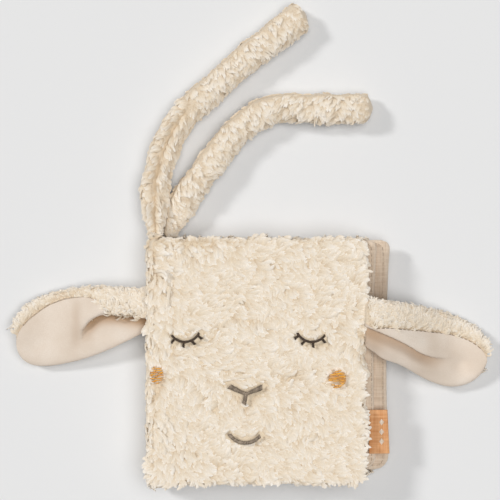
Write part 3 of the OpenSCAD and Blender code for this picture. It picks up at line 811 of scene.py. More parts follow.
noseLines = [
    (noseAt + np.array([[0, 0], [-2.4, 0.8], [-6, 2.4], [-9.8, 4.3]]), 1.8, 3.5),
    (noseAt + np.array([[0, 0], [2.4, 0.8], [6, 2.2], [9.6, 3.9]]), 1.8, 3.5),
    (noseAt + np.array([[0, 0.4], [-0.2, -2], [-0.7, -4], [-1.1, -6.2]]), 2.1, 2.9),
]
mouthLines = [(arcLine(mouthAt, face["mouthRadius"], *face["mouth"]), face["mouthThread"],
               face["mouthThread"])]
eyeSets = {"left": eyeLines(1), "right": eyeLines(-1)}
drawn = eyeSets["left"] + eyeSets["right"] + noseLines + mouthLines


# The least distance in plan from points to the side of any embroidered line
def threadDistance(points):
    best = np.full(len(points), 1e9)
    for line, wide, wideEnd in drawn:
        a, b = line[:-1], line[1:]
        ab = b - a
        rel = points[:, None] - a
        t = np.clip(np.sum(rel * ab, -1) / np.sum(ab * ab, -1), 0, 1)
        half = mix(wide, wideEnd, (np.arange(len(a)) + t) / len(a)) / 2
        gap = (np.linalg.norm(rel - t[..., None] * ab, axis=-1) - half).min(1)
        best = np.minimum(best, gap)
    return best


cheekRight = np.array([face["x"] + 53.1, -2 * halfHeight * 0.069])
cheekLeft = np.array([foldX + 3.4, -2 * halfHeight * 0.054])
cheekRadius, cheekSqueeze = 5.2, 1.3


# The least distance in plan from points to the rim of either cheek
def cheekDistance(plan):
    return np.minimum(np.linalg.norm(plan - cheekRight, axis=-1),
                      np.linalg.norm((plan - cheekLeft) * [cheekSqueeze, 1], axis=-1)) - cheekRadius


# Front pile

sheet = scattered(coverFace["left"] - 3, coverFace["right"] + 8, -halfHeight - 8, halfHeight + 8,
                  cover["spacing"], 5)
roots, normals = frontSheet(sheet)
wanted = inFront(roots) & (roots[:, 2] > coverFace["seam"] + 0.6)
roots, normals = roots[wanted], normals[wanted]
gap, cheekGap = threadDistance(roots[:, :2]), cheekDistance(roots[:, :2])
flow = faceFlow(roots[:, 0], roots[:, 1])
flow = acrossSurface(np.concatenate([flow, -1.5 * np.clip(1 - normals[:, 2:], 0, 1)], -1), normals)
short = np.clip(np.minimum(gap, cheekGap + 0.6) / cover["shortBy"], 0, 1)
keep = (gap > 0.4) & (cheekGap > -0.8)
alike = groupsOf(roots[:, :2], cover["groups"], 8)
inside = np.minimum(coverFace["right"] - roots[:, 0], coverFace["top"] - np.abs(roots[:, 1]))
size = mix(cover["shortest"], 1, short) * mix(cover["shortest"], 1, ease((inside + 1) / 10)) \
    * (0.9 + 0.2 * (alike * 0.618 % 1))
strands = pile(roots[keep], normals[keep], flow[keep], facePile, 7, scale=size[keep], groups=alike[keep])
each = facePile["rings"] * 3 + 1

# whole strands that would cross an embroidered line or a cheek are dropped
plan = strands[0][:, :2].reshape(-1, each, 2)[:, np.arange(1, each, 3)]
crossing = threadDistance(plan.reshape(-1, 2)).reshape(plan.shape[:2]).min(1) < 0.55
crossing |= cheekDistance(plan).min(1) < -0.5
strands = partOf(*strands, np.repeat(~crossing, each))
print("front locks", keep.sum(), "strands left", len(strands[0]) // each)

# two pieces, by where each strand starts
onLeft = np.repeat(strands[0].reshape(-1, each, 3)[:, 0, 0] < cover["splitAt"], each)
for side, want, nodes in (("left", onLeft, ["front_plush"]), ("right", ~onLeft, [])):
    newPiece("front_pile_" + side, partOf(*strands, want), fur, "front_cover", nodes)


# Spine and back cover

spinePile = dict(facePile, rings=4, length=6.8, lift=38, stray=26, droop=1.6)
spineLook = {"end": 4.0, "startTurn": 41, "lowRoll": 4.0, "foot": 5.0, "run": 39, "spacing": 2.3}


# The spine in section, by the run s down from the mitre: round the fold, down
# the wall and round under the book. Along Y its two ends roll inward.
def spineSheet(s, y):
    centre = np.array([foldX + cover["foldRoll"] - cover["foldPile"], faceZ - cover["foldRoll"]])
    r = cover["foldRoll"] - cover["pile"] + 0.8
    startTurn = math.radians(spineLook["startTurn"])
    arc, wall = r * (math.pi / 2 - startTurn), centre[1] - spineLook["foot"]
    turn = startTurn + np.clip(s, 0, arc) / r
    low, lowRoll = np.clip(s - arc - wall, 0, 8), spineLook["lowRoll"]
    turnLow = np.minimum(low / lowRoll, math.pi / 2)
    x = centre[0] - r * np.sin(turn) + lowRoll * (1 - np.cos(turnLow)) \
        + np.maximum(low - lowRoll * math.pi / 2, 0)
    z = centre[1] + r * np.cos(turn) - np.clip(s - arc, 0, wall) - lowRoll * np.sin(turnLow)
    normal = np.where((low > 0)[..., None], np.stack([-np.cos(turnLow), 0 * turn, -np.sin(turnLow)], -1),
                      np.stack([-np.sin(turn), 0 * turn, np.cos(turn)], -1))
    end = spineLook["end"]
    limit = halfHeight - 1.0 - end
    past = np.clip((np.abs(y) - limit) / end, 0, 2.0)
    along = np.minimum(np.abs(y), limit) + end * np.sin(np.minimum(past, math.pi / 2))
    place = np.stack([x, np.sign(y) * along, z], -1) - normal * (end * (1 - np.cos(past)))[..., None]
    endWay = np.stack([0 * y, np.sign(y), 0 * y], -1)
    return place, unit(normal * np.cos(past)[..., None] + endWay * np.sin(past)[..., None])


sheet = scattered(0, spineLook["run"], -halfHeight - 4, halfHeight + 4, spineLook["spacing"], 15)
roots, normals = spineSheet(sheet[:, 0], sheet[:, 1])
keep = ~inFront(roots)
roots, normals = roots[keep], normals[keep]
wave = 24 * np.sin(0.11 * roots[:, 1] + 0.2 * roots[:, 2]) + 18 * np.sin(0.07 * roots[:, 1] + 1)
turn = np.radians(wave)
flow = acrossSurface(np.stack([0.15 + 0 * turn, -np.cos(turn), -0.35 - np.sin(turn) * 0.8], -1), normals)
nearEnd = np.clip((np.abs(roots[:, 1]) - halfHeight + 9) / 9, 0, 1)[:, None]
endWay = np.stack([0 * turn, np.sign(roots[:, 1]), 0 * turn], -1)
flow = acrossSurface(flow * (1 - nearEnd * 0.8) + nearEnd * endWay, normals)
spineLocks = pile(roots, normals, flow, spinePile, 17, floor=0.2)
su, sy = np.meshgrid(np.linspace(0, 34, 22), np.linspace(-halfHeight - 1.6, halfHeight + 1.6, 90))
place = spineSheet(su.ravel(), sy.ravel())[0]
inner = np.stack([np.minimum(place[:, 0] + 5, backLow[0] + 1.0), place[:, 1] * 0.985,
                  np.minimum(place[:, 2], pagesHigh[2] - 0.6)], -1)
wall = (np.concatenate([place, inner]), turnedOver(shellFaces(*su.shape)), plainCloth(2 * len(place)))
newPiece("spine_pile", joined([wall, spineLocks]), fur, "back_cover", ["spine_plush"])
print("spine locks", len(roots))

backPile = dict(facePile, rings=3, length=6.2, lift=24, strands=2, width=1.6, spread=0.8)
backLook = {"roll": 3.4, "low": 1.1, "reach": 6.5, "spacing": 3.2}


# The back plush: the wrapped sheet the other way up
def backSheet(q):
    roll = backLook["roll"]
    return wrapped(q, (backLow[0] - 20, -halfHeight + 3.4), (backHigh[0] - 6.0, halfHeight - 2.0),
                   cover["corner"] + 2 - roll, roll, backLook["low"], -1)[:2]


sheet = scattered(backLow[0] - 1, backHigh[0] + 8, -halfHeight - 8, halfHeight + 8, backLook["spacing"], 31)
roots, normals = backSheet(sheet)
keep = (roots[:, 2] < backHigh[2] - 1.2) & (roots[:, 0] > backLow[0])
roots, normals = roots[keep], normals[keep]
flow = faceFlow(roots[:, 0], -roots[:, 1]) * [1, -1]
flow = acrossSurface(np.concatenate([flow, 0.9 * np.clip(1 + normals[:, 2:], 0, 1)], -1), normals)
backLocks = pile(roots, normals, flow, backPile, 37, floor=0.2)
reach = backLook["reach"]
qx, qy = np.meshgrid(np.linspace(backLow[0], backHigh[0] + reach, 50),
                     np.linspace(-halfHeight - reach, halfHeight + reach, 52))
place = backSheet(np.stack([qx, qy], -1).reshape(-1, 2))[0]
place[:, 0] = np.maximum(place[:, 0], backLow[0])
points, faces, values = closedSheet(place, *qx.shape, (1, 0.985), backHigh[2] - 0.2)
shell = (points, turnedOver(faces), values)
backPiece = newPiece("back_pile", joined([shell, backLocks]), fur, "back_cover", ["back_plush"])
print("back locks", len(roots))


# Threads

# A row of threads. Each is a tube from start to end that bows up in the middle
# by rise: place(t) = start + (end - start) * t + up * rise * sin(pi * t).
def threads(starts, ends, radius, rise, seed, sides=5, rings=5):
    rng = np.random.default_rng(seed)
    n = len(starts)
    t = np.linspace(0, 1, rings)
    up = np.broadcast_to([0, 0, 1.0], (n, 3))
    line = starts[:, None] + (ends - starts)[:, None] * t[:, None] \
        + up[:, None] * (rise * np.sin(math.pi * t))[:, None]
    ahead = unit(np.gradient(line, axis=1))
    sideways = unit(np.cross(ahead, up[:, None]))
    lift = np.cross(sideways, ahead)
    turns = np.arange(sides) * math.tau / sides
    slim = radius * (0.72 + 0.28 * np.sin(math.pi * t))[:, None]
    points = line[:, :, None] + (slim * np.cos(turns))[..., None] * sideways[:, :, None] \
        + (slim * np.sin(turns))[..., None] * lift[:, :, None]
    points = np.concatenate([points.reshape(n, -1, 3), line[:, :1], line[:, -1:]], 1)
    each = rings * sides + 2
    first = (np.arange(n) * each)[:, None, None]
    quads, caps = tubeFaces(rings, sides)
    quads, tris = (quads + first).reshape(-1, 4), (caps + first).reshape(-1, 3)
    # how high along its bow each point is, read by the thread material for its painted light
    high = np.concatenate([np.repeat(np.sin(math.pi * t), sides), [0, 0]])
    values = {"tip": np.tile(high, n), "tone": np.repeat(rng.uniform(0, 1, n), each)}
    return points.reshape(-1, 3), [quads, tris], values


# Ears

# The value at a from a table of (a, value) rows
def lookup(a, table):
    return np.interp(a, [row[0] for row in table], [row[1] for row in table])


# An ear's fold is a line in plan, from the root on, and its furry band a width
# for each share of the length. "tip" holds the two powers that shape the end.
leftEar = {
    "name": "left", "side": -1, "x": spineLow[0] - 0.4, "y": 29.4, "drop": 16.5, "bend": 0, "length": 79,
    "lowRoot": 9.4, "lowTip": 0.7, "body": "back_cover", "tip": (3, 2.4), "thread": sewingThread,
    "stitch": 2.6,
    "band": [(0, 15), (0.2, 15.5), (0.27, 14), (0.36, 7.5), (0.46, 4.6), (0.63, 4.2), (0.75, 5.4),
             (0.86, 7.6), (1, 8)],
    "fold": [(-66, 25), (-73, 26), (-84, 27.5), (-95, 28.2), (-103.2, 25.8), (-109, 20), (-111.5, 12.5),
             (-110.6, 6)],
    "overhang": 3.6, "step": 6.8, "flap": 1.2, "shade": 1.0, "flare": 0, "dent": (-139, 10, 0.8),
    "creases": [(-116.5, 22, 14, 1.0)],
}
rightEar = {
    "name": "right", "side": 1, "x": frontHigh[0] + 0.4, "y": 23.6, "drop": 21.7, "bend": 1, "length": 70,
    "lowRoot": frontLow[2] - 0.9, "lowTip": 0.7, "body": "front_cover", "tip": (2, 2), "thread": seamThread,
    "stitch": 1.8,
    "band": [(0, 15), (0.29, 14.2), (0.52, 12.6), (0.73, 10.2), (0.88, 8), (1, 6)],
    "fold": [(58, 22), (65, 19.4), (75.6, 14.9), (86, 9.8), (94.3, 4.8), (102.5, 1.8), (110.5, 0.7),
             (117, 1.5)],
    "overhang": 3.2, "step": 4.8, "flap": 2.2, "shade": 0.72, "flare": 0.5, "dent": (121, -3, 2.4),
    "creases": [],
}
earLook = {"halfRoot": 12.5, "halfWide": 22.0, "belly": 0.6, "thick": 7.0, "pile": 2.2, "foldWidth": 2.1,
           "foldPoints": 60, "foldFade": 0.35, "reach": 11.0, "flapAt": 7.5, "flapWide": 4,
           "flareRun": 0.16, "dentSize": (7, 6), "creaseWide": 4, "crown": 1.4, "velour": 1.2,
           "inside": 0.08, "end": 0.992, "stations": 74, "across": 60, "under": 20, "band": 10, "top": 14,
           "spacing": 0.031, "underSpacing": 0.064, "fullBand": 13, "stitchPitch": 2.6}


# Half an ear's width: a quarter sine out to the belly, then a rounded end,
# (1 - t^p)^(1/q)
def earHalf(e, a):
    belly, wide = earLook["belly"], earLook["halfWide"]
    t = np.clip((a - belly) / (1 - belly), 0, 1)
    tip = np.maximum(0.002, 1 - t ** e["tip"][0]) ** (1 / e["tip"][1])
    grown = mix(earLook["halfRoot"], wide, np.sin(np.clip(a / belly, 0, 1) * math.pi / 2))
    return np.where(a < belly, grown, wide * tip)


# Where the velour meets the furry band, as a share of the half width
def earSeam(e, a):
    return np.clip(1 - lookup(a, e["band"]) / earHalf(e, a), -0.5, 0.84)


# The height of an ear's underside: a half cosine down, and up a little at the tip
def earLow(e, a):
    fall = (1 + np.cos(math.pi * np.minimum(1, a / 0.82))) / 2
    return mix(e["lowTip"], e["lowRoot"], fall) + 3.2 * np.maximum(0, (a - 0.7) / 0.3) ** 2


# An ear in plan: out by the share a of its length, and across by v of its half
# width from a middle line that drops straight or by a sine
def earPlan(e, a, v, half):
    y = e["y"] - e["drop"] * mix(a, np.sin(math.pi / 2 * a), e["bend"]) + v * half
    return e["x"] + e["side"] * e["length"] * a + 0 * y, y


# From plan points to the ear's fold: how far above it each one is, the way out
# from it, and how strong the fold still is there.
def foldPlace(e, x, y):
    line, _ = smoothLine(e["fold"], earLook["foldPoints"])
    ahead = unit(np.gradient(line, axis=0))
    rel = np.stack([x, y], -1)[..., None, :] - line
    far = np.linalg.norm(rel, axis=-1)
    near = far.argmin(-1)
    rel = np.take_along_axis(rel, near[..., None, None], -2)[..., 0, :]
    way = np.stack([-ahead[near][..., 1], ahead[near][..., 0]], -1) * e["side"]
    above = np.where(np.sum(rel * way, -1) < 0, -1, 1) * far.min(-1)
    return above, way, ease((1 - near / (len(line) - 1)) / earLook["foldFade"])


# The top of an ear at a share a of its length and v of its half width. At the
# fold the cloth steps down by step and doubles back under itself: with q for
# the distance over the fold's width, it slides by overhang * q * exp(-q * q).
def earTop(e, a, v, lift):
    flare = e["flare"] * np.exp(-(a / earLook["flareRun"]) ** 2) * (v < 0) * v * v
    x, y = earPlan(e, a, v, earHalf(e, a) * (1 + flare))
    above, way, strong = foldPlace(e, x, y)
    q = above / earLook["foldWidth"]
    slide = e["overhang"] * strong * q * np.exp(-q * q)
    step = e["step"] * strong * np.exp(-(above / earLook["reach"]) ** 2) * (np.tanh(q * 1.3) * 0.5 + 0.1)
    step += e["flap"] * strong * np.exp(-((above + earLook["flapAt"]) / earLook["flapWide"]) ** 2)
    (dentX, dentY, deep), (dentLong, dentWide) = e["dent"], earLook["dentSize"]
    step -= deep * np.exp(-((x - dentX) / dentLong) ** 2 - ((y - dentY) / dentWide) ** 2)
    for cx, cy, reach, depth in e["creases"]:
        faded = np.exp(-((x - cx) / earLook["creaseWide"]) ** 2 - ((y - cy) / reach) ** 4)
        step = step - depth * np.sin((x - cx) / 2.6) * faded
    swell = mix(1, earLook["thick"], np.maximum(0, 1 - v * v) ** 0.4)
    z = earLow(e, a) + 0.6 + earLook["crown"] * v * v + swell + step + lift
    return np.stack([x - way[..., 0] * slide, y - way[..., 1] * slide, z], -1)


# How much painted shade a place of the velour gets: deep in the fold, along a crease and near the root
def earShade(e, a, v):
    x, y = earPlan(e, a, v, earHalf(e, a))
    above, _, strong = foldPlace(e, x, y)
    q = above / earLook["foldWidth"]
    deep = e["shade"] * strong * np.exp(-((q + 0.9) / np.where(q > -0.9, 0.75, 2.2)) ** 2)
    for cx, cy, reach, _ in e["creases"]:
        deep = deep + 0.3 * np.exp(-((x - cx - 2) / 3) ** 2 - ((y - cy) / reach) ** 4)
    return np.clip(deep + 0.12 * np.exp(-(np.maximum(a, 0) / 0.06) ** 2), 0, 1)


# The underside of an ear: its low line, turned up at the sides
def earUnder(e, a, v):
    x, y = earPlan(e, a, v, earHalf(e, a) * 0.97)
    return np.stack([x, y, earLow(e, a) + 2.4 * np.abs(v) ** 3 + earLook["pile"] * 0.6], -1)


earPile = dict(facePile, rings=4, length=6.4, lift=36, strands=3, stray=24, width=0.95, spread=0.78,
               round=0.6)
underPile = dict(earPile, rings=3, strands=2, width=1.3, lift=18, length=5.5)


# An ear: a velour face, a furry back with its pile, and the stitches between
def makeEar(e):
    side, name, body = e["side"], e["name"] + "_ear", e["body"]
    stations, across = earLook["stations"], earLook["across"]
    shares = mix(-earLook["inside"], 1, np.sin(np.linspace(0, math.pi / 2, stations)))

    # velour face: seam to lower edge, a thin closed shell
    a, s = np.meshgrid(shares, np.linspace(0, 1, across), indexing="ij")
    v = mix(earSeam(e, a), -0.985, s)
    top = earTop(e, np.minimum(a, earLook["end"]), v, 1.3).reshape(-1, 3)
    low = top - [0, 0, earLook["velour"]]
    sets = shellFaces(stations, across)
    skin = newPiece(name + "_face", (np.concatenate([top, low]), sets if side < 0 else turnedOver(sets),
                                     {"pleat": np.tile(earShade(e, a, v).ravel(), 2)}),
                    velour, body, [name + "_velour"])

    # furry back: a closed tube of sections, back below, over the upper edge by
    # the band, and on under the velour
    below, band = earLook["under"], earLook["under"] + earLook["band"]
    ring = band + earLook["top"]
    a, k = np.meshgrid(np.minimum(shares, earLook["end"]), np.arange(ring), indexing="ij")
    seam = earSeam(e, a)
    v = np.where(k < band, mix(1, seam, (k - below) / earLook["band"]),
                 mix(seam, -1, (k - band) / earLook["top"]))
    v = np.where(k < below, -np.cos(k / below * math.pi), v)
    upper = earTop(e, a, np.clip(v, -0.995, 0.995), np.where(v > seam + 0.01, 0.7, -0.15))
    shell = np.where((k < below)[..., None], earUnder(e, a, v), upper).reshape(-1, 3)
    ends = np.stack([shell[:ring].mean(0), shell[-ring:].mean(0)])
    sets = tubeFaces(stations, ring)
    tube = (np.concatenate([shell, ends]), sets if side < 0 else turnedOver(sets), plainCloth(len(shell) + 2))

    # pile on the rolled-over band and round the upper edge
    spots = scattered(-0.06, 1, 0, 1, earLook["spacing"], 41 + side)
    thick = lookup(spots[:, 0], e["band"]) / earLook["fullBand"]
    spots = spots[np.random.default_rng(43 + side).uniform(0, 1, len(spots)) < thick]
    vv = mix(earSeam(e, spots[:, 0]) + 0.02, 1.0, spots[:, 1])
    roots, normals = surfaceAt(lambda u, w: earTop(e, np.minimum(u, 0.985), np.clip(w, -0.99, 0.99), 0.7),
                               spots[:, 0], vv, side)
    normals = unit(normals + np.array([0.25 * side, 0.9, 0]) * (ease((vv - 0.7) / 0.3) * 1.2)[:, None])
    flow = acrossSurface(np.array([0.75 * side, 1.0, -0.2]), normals)
    bandLocks = pile(roots, normals, flow, earPile, 47 + side, floor=0.25)

    # pile under the ear
    spots = scattered(0, 0.9, -0.82, 0.95, earLook["underSpacing"], 53 + side)
    roots, normals = surfaceAt(lambda u, w: earUnder(e, np.clip(u, 0, 0.985), np.clip(w, -0.98, 0.98)),
                               spots[:, 0], spots[:, 1], -side)
    flow = acrossSurface(np.array([1.0 * side, 0.25, 0]), normals)
    underLocks = pile(roots, normals, flow, underPile, 59 + side, floor=0.25)
    back = newPiece(name + "_pile", joined([tube, bandLocks, underLocks]), fur, body,
                    [name + "_plush"])

    # stitches along the seam
    a = np.arange(0.02, 0.93, earLook["stitchPitch"] / e["length"])
    ends = [earTop(e, b, earSeam(e, b) - 0.012, 1.32) for b in (a, a + e["stitch"] / e["length"])]
    newPiece(name + "_stitches", threads(*ends, 0.22, 0.1, 45 + side), e["thread"], body)
    print(name, "made")


makeEar(leftEar)
makeEar(rightEar)


# Embroidery as satin stitch

stitchLook = {"pitch": 0.34, "slant": 24, "radius": 0.23, "rise": 0.35, "sunk": 0.35}
threadZ = faceZ - stitchLook["sunk"]


# Satin stitch along plan lines: threads lie across the line, slanted a little
def satin(lines, seed):
    parts = []
    rng = np.random.default_rng(seed)
    turn = math.radians(90 - stitchLook["slant"])
    for line, wide, wideEnd in lines:
        run = runOf(line)
        count = max(4, int(run[-1] / stitchLook["pitch"]))
        even = np.linspace(0, run[-1], count)
        middle = lineAt(even, run, line)
        ahead = unit(np.gradient(middle, axis=0))
        across = np.stack([ahead[:, 0] * math.cos(turn) - ahead[:, 1] * math.sin(turn),
                           ahead[:, 0] * math.sin(turn) + ahead[:, 1] * math.cos(turn)], -1)
        half = mix(wide, wideEnd, even / run[-1]) / 2 * rng.uniform(0.9, 1.12, count)
        ends = [np.column_stack([middle + way * across * half[:, None], np.full(count, threadZ)])
                for way in (-1, 1)]
        parts.append(threads(*ends, stitchLook["radius"], stitchLook["rise"], seed))
    return joined(parts)


for name, node, lines, seed, thread, slot in (
        ("eye_stitches_left", "eye_left", eyeSets["left"], 5, darkThread, "dark_thread"),
        ("eye_stitches_right", "eye_right", eyeSets["right"], 5, darkThread, "dark_thread"),
        ("nose_stitches", "nose", noseLines, 8, greyThread, "grey_thread"),
        ("mouth_stitches", "mouth", mouthLines, 9, greyThread, "grey_thread")):
    newPiece(name, satin(lines, seed), thread, "front_cover", [node])


cheekLook = {"rows": 11, "cut": 0.7, "least": 0.9, "missed": 0.18, "radius": 0.36, "rise": 0.45}


# A cheek: rows of long flat stitches that fill a disc and leave small gaps
def cheek(side, middle, squeeze, heightAt, seed):
    rng = np.random.default_rng(seed)
    starts, ends = [], []
    for k in range(cheekLook["rows"]):
        y = mix(-1, 1, (k + 0.5) / cheekLook["rows"]) * cheekRadius
        reach = math.sqrt(cheekRadius ** 2 - y * y) * squeeze
        cuts = np.sort(rng.uniform(-cheekLook["cut"], cheekLook["cut"], 2)) * reach
        for x0, x1 in ((-reach, cuts[0]), (cuts[0], cuts[1]), (cuts[1], reach)):
            if x1 - x0 > cheekLook["least"] and rng.uniform() > cheekLook["missed"]:
                lean = rng.normal(0, 0.16) + 0.05 * x0
                starts.append((middle[0] + x0 - 0.15, middle[1] + y + lean))
                ends.append((middle[0] + x1 + 0.15, middle[1] + y + lean + 0.25))
    both = [np.column_stack([spots, heightAt(spots[:, 0])]) for spots in (np.array(starts), np.array(ends))]
    newPiece("cheek_stitches_" + side, threads(*both, cheekLook["radius"], cheekLook["rise"], seed),
             orangeThread, "front_cover", ["cheek_" + side])


cheek("right", cheekRight, 1.0, lambda x: np.full(len(x), threadZ), 61)
cheek("left", cheekLeft, 0.78, lambda x: faceZ - 0.6 - foldDrop(x)[0], 67)
print("embroidery made")


# Leaves

leafLook = {"thick": 5.0, "gap": 0.4, "corner": 6.0, "lowCorner": 10.0, "bow": 2.0, "left": pagesLow[0],
            "grid": 64, "rim": 2.4, "rimShare": 0.34, "swell": 16, "seam": 3.4, "puff": 1.2,
            "pressY": 38, "pressReach": 13, "pressFrom": 54, "pressed": 0.8}
leaves = {
    "lower": {"right": pagesHigh[0], "proud": 1.2, "z": pagesLow[2], "nodes": ["pages"]},
    "upper": {"right": frontHigh[0] + 2.6, "proud": 0, "z": pagesLow[2] + leafLook["thick"] + leafLook["gap"],
              "nodes": []},
}


# A padded leaf as a closed two-sided grid. Rows follow a rounded rectangle, and
# the thickness grows inward from the seamed rim, at first straight and then by
# the 0.6th power of the distance.
def leafShape(right, z):
    n, thick, left = leafLook["grid"], leafLook["thick"], leafLook["left"]
    even = np.linspace(0, 1, n)
    share = mix((1 - np.cos(math.pi * even)) / 2, even, 0.55)
    v = mix(pagesLow[1], pagesHigh[1], share)
    dy = np.minimum(v - pagesLow[1], pagesHigh[1] - v)
    inset = cornerInset(dy, np.where(v < 0, leafLook["lowCorner"], leafLook["corner"])) \
        + leafLook["bow"] * (0.6 - (v / pagesHigh[1]) ** 2)
    far = right - inset[:, None]
    x = mix(left, far, share[None])
    y = np.repeat(v[:, None], n, 1)
    edge = np.minimum(np.minimum(x - left, far - x), dy[:, None])
    rise = np.clip(edge / leafLook["rim"], 0, 1) * 0.35 \
        + np.clip((edge - leafLook["rim"]) / leafLook["swell"], 0, 1) ** 0.6 * 0.65
    pucker = 1 + 0.05 * (np.sin(y * 0.9) + np.sin(x * 0.8)) * np.exp(-edge / 6)
    half = np.minimum(thick / 2 * mix(leafLook["rimShare"], 1.0, rise) * pucker, thick / 2)
    # the free edge is pressed down beside the ear that lies on it, and darkened there with painted shade
    past = x - leafLook["pressFrom"]
    sunk = np.exp(-((y - leafLook["pressY"]) / leafLook["pressReach"]) ** 2) * ease(past / 14)
    shade = (ease((64 - y) / 28) * ease((y - 20) / 6) * ease(past / 10)).ravel()
    top = np.stack([x, y, z + thick / 2 + half * (1 - leafLook["pressed"] * sunk)], -1).reshape(-1, 3)
    low = np.stack([x, y, z + thick / 2 - half], -1).reshape(-1, 3)
    return np.concatenate([top, low]), shellFaces(n, n), \
        {"rim": np.tile(np.exp(-(edge / 1.1) ** 2).ravel(), 2), "shade": np.concatenate([shade, shade * 0])}


# The points of a mesh, in metres
def pointsOf(mesh):
    points = np.empty(len(mesh.vertices) * 3)
    mesh.vertices.foreach_get("co", points)
    return points.reshape(-1, 3)


# Swells a closed mesh with cloth under pressure and keeps every point within
# cap of where it began, then leaves the result in the mesh.
def puff(piece, cap, squeeze, pressure=4.0, frames=20):
    before = pointsOf(piece.data)
    cloth = piece.modifiers.new("puff", "CLOTH")
    cloth.settings.use_pressure = True
    cloth.settings.uniform_pressure_force = pressure
    cloth.settings.effector_weights.gravity = 0
    cloth.settings.quality = 6
    cloth.settings.mass = 0.2
    cloth.settings.tension_stiffness = cloth.settings.compression_stiffness = 12
    cloth.settings.bending_stiffness = 0.3
    scene = bpy.context.scene
    for number in range(1, frames + 1):
        scene.frame_set(number)
    move = pointsOf(piece.evaluated_get(bpy.context.evaluated_depsgraph_get()).data) - before
    piece.modifiers.remove(cloth)
    scene.frame_set(1)
    far = np.linalg.norm(move, axis=1, keepdims=True)
    move *= np.minimum(1, cap * mm / np.maximum(far, 1e-9))
    piece.data.vertices.foreach_set("co", squeeze(before + move).ravel())
    piece.data.update()


# A piece's surface, to be met by rays
def treeOf(piece):
    return BVHTree.FromObject(piece, bpy.context.evaluated_depsgraph_get())


# The height where a look straight down (side 1) or up (side -1) meets a surface
def heightOn(tree, x, y, side=1):
    hit = tree.ray_cast(Vector((x * mm, y * mm, side * 0.2)), Vector((0, 0, -side)))
    return hit[0].z / mm if hit[0] else np.nan


seamLook = {"pitch": 3.0, "share": 0.68, "radius": 0.22, "rise": 0.16, "corner": 4.0}


# Stitches in a row along a plan line, laid on a surface
def stitchRow(line, tree, side=1):
    run = runOf(line)
    at = np.arange(int(run[-1] / seamLook["pitch"])) * seamLook["pitch"]
    ends = []
    for shift in (0.0, seamLook["pitch"] * seamLook["share"]):
        p = lineAt(at + shift, run, line)
        z = np.array([heightOn(tree, x, y, side) for x, y in p])
        ends.append(np.column_stack([p, z + side * 0.02]))
    good = ~np.isnan(ends[0][:, 2] + ends[1][:, 2])
    return threads(ends[0][good], ends[1][good], seamLook["radius"], seamLook["rise"] * side, 71,
                   sides=4, rings=4)


# A rounded rectangle in plan, drawn in from its box by inset, in many points
def roundLine(x0, x1, y0, y1, inset, count=14):
    x0, x1, y0, y1, r = x0 + inset, x1 - inset, y0 + inset, y1 - inset, seamLook["corner"]
    parts = [arcLine((cx, cy), r, turn, turn + 90, count)
             for cx, cy, turn in ((x1 - r, y1 - r, 0), (x0 + r, y1 - r, 90), (x0 + r, y0 + r, 180),
                                  (x1 - r, y0 + r, 270))]
    line = np.concatenate(parts + [parts[0][:1]])
    fine = [np.linspace(a, b, 12, endpoint=False) for a, b in zip(line[:-1], line[1:])]
    return np.concatenate(fine + [line[-1:]])


for key, leaf in leaves.items():
    piece = newPiece("leaf_" + key, leafShape(leaf["right"] + leaf["proud"], leaf["z"]), linen, "page_block",
                     leaf["nodes"])
    lowZ, highZ = leaf["z"] * mm, (leaf["z"] + leafLook["thick"]) * mm
    puff(piece, leafLook["puff"], lambda p: np.column_stack([
        np.clip(p[:, 0], leafLook["left"] * mm, (leaf["right"] + 2) * mm), p[:, 1],
        np.clip(p[:, 2], lowZ + 0.0001, highZ)]))
    tree, inset = treeOf(piece), leafLook["seam"]
    line = roundLine(leafLook["left"] + 4 - inset, leaf["right"], pagesLow[1], pagesHigh[1], inset)
    rows = joined([stitchRow(line, tree, side) for side in (1, -1)])
    newPiece("leaf_stitches_" + key, rows, sewingThread, "page_block")
print("leaves made")


# Linings and padding

liningLook = {"grid": 40, "corner": 5.0, "dip": 0.3, "seam": 2.6}


# A cover's lining: a flat shell with round corners that dips at its rim, and a
# row of stitches on the side that shows
def makeLining(cover, body, low, high, up):
    n, dip = liningLook["grid"], liningLook["dip"]
    share = np.linspace(0, 1, n)
    v = mix(low[1], high[1], share)
    dy = np.minimum(v - low[1], high[1] - v)
    inset = cornerInset(dy, liningLook["corner"])[:, None]
    x = mix(low[0] + inset, high[0] - inset, share[None])
    y = np.repeat(v[:, None], n, 1)
    edge = np.minimum(np.minimum(x - low[0] - inset, high[0] - inset - x), dy[:, None])
    near, far = (high[2], low[2]) if up > 0 else (low[2], high[2])
    shown = np.stack([x, y, near - up * dip * np.exp(-edge / 1.5)], -1).reshape(-1, 3)
    hidden = np.stack([x, y, np.full_like(x, far)], -1).reshape(-1, 3)
    sets = shellFaces(n, n) if up > 0 else turnedOver(shellFaces(n, n))
    piece = newPiece(body + "_lining", (np.concatenate([shown, hidden]), sets), lining, body,
                     [cover + "_lining", cover + "_padding"])
    line = roundLine(low[0], high[0], low[1], high[1], liningLook["seam"])
    newPiece(body + "_lining_stitches", stitchRow(line, treeOf(piece), up), sewingThread, body)


low, high = boxOf("back_lining")
makeLining("back", "back_cover", low + [0, 4, 0], high - [6, 2, 0], 1)
low, high = boxOf("front_lining")
makeLining("front", "front_cover", low + [0, 2, 0], high - [3, 0, 0], -1)


# Label

labelLook = {"along": 40, "across": 44, "half": 0.38, "thick": 0.3, "turn": 0.06, "droop": 0.9, "lean": 1.3,
             "motif": 3, "rows": 9, "radius": 1.9, "from": 0.28, "apart": 0.22, "fromFold": 4.6}


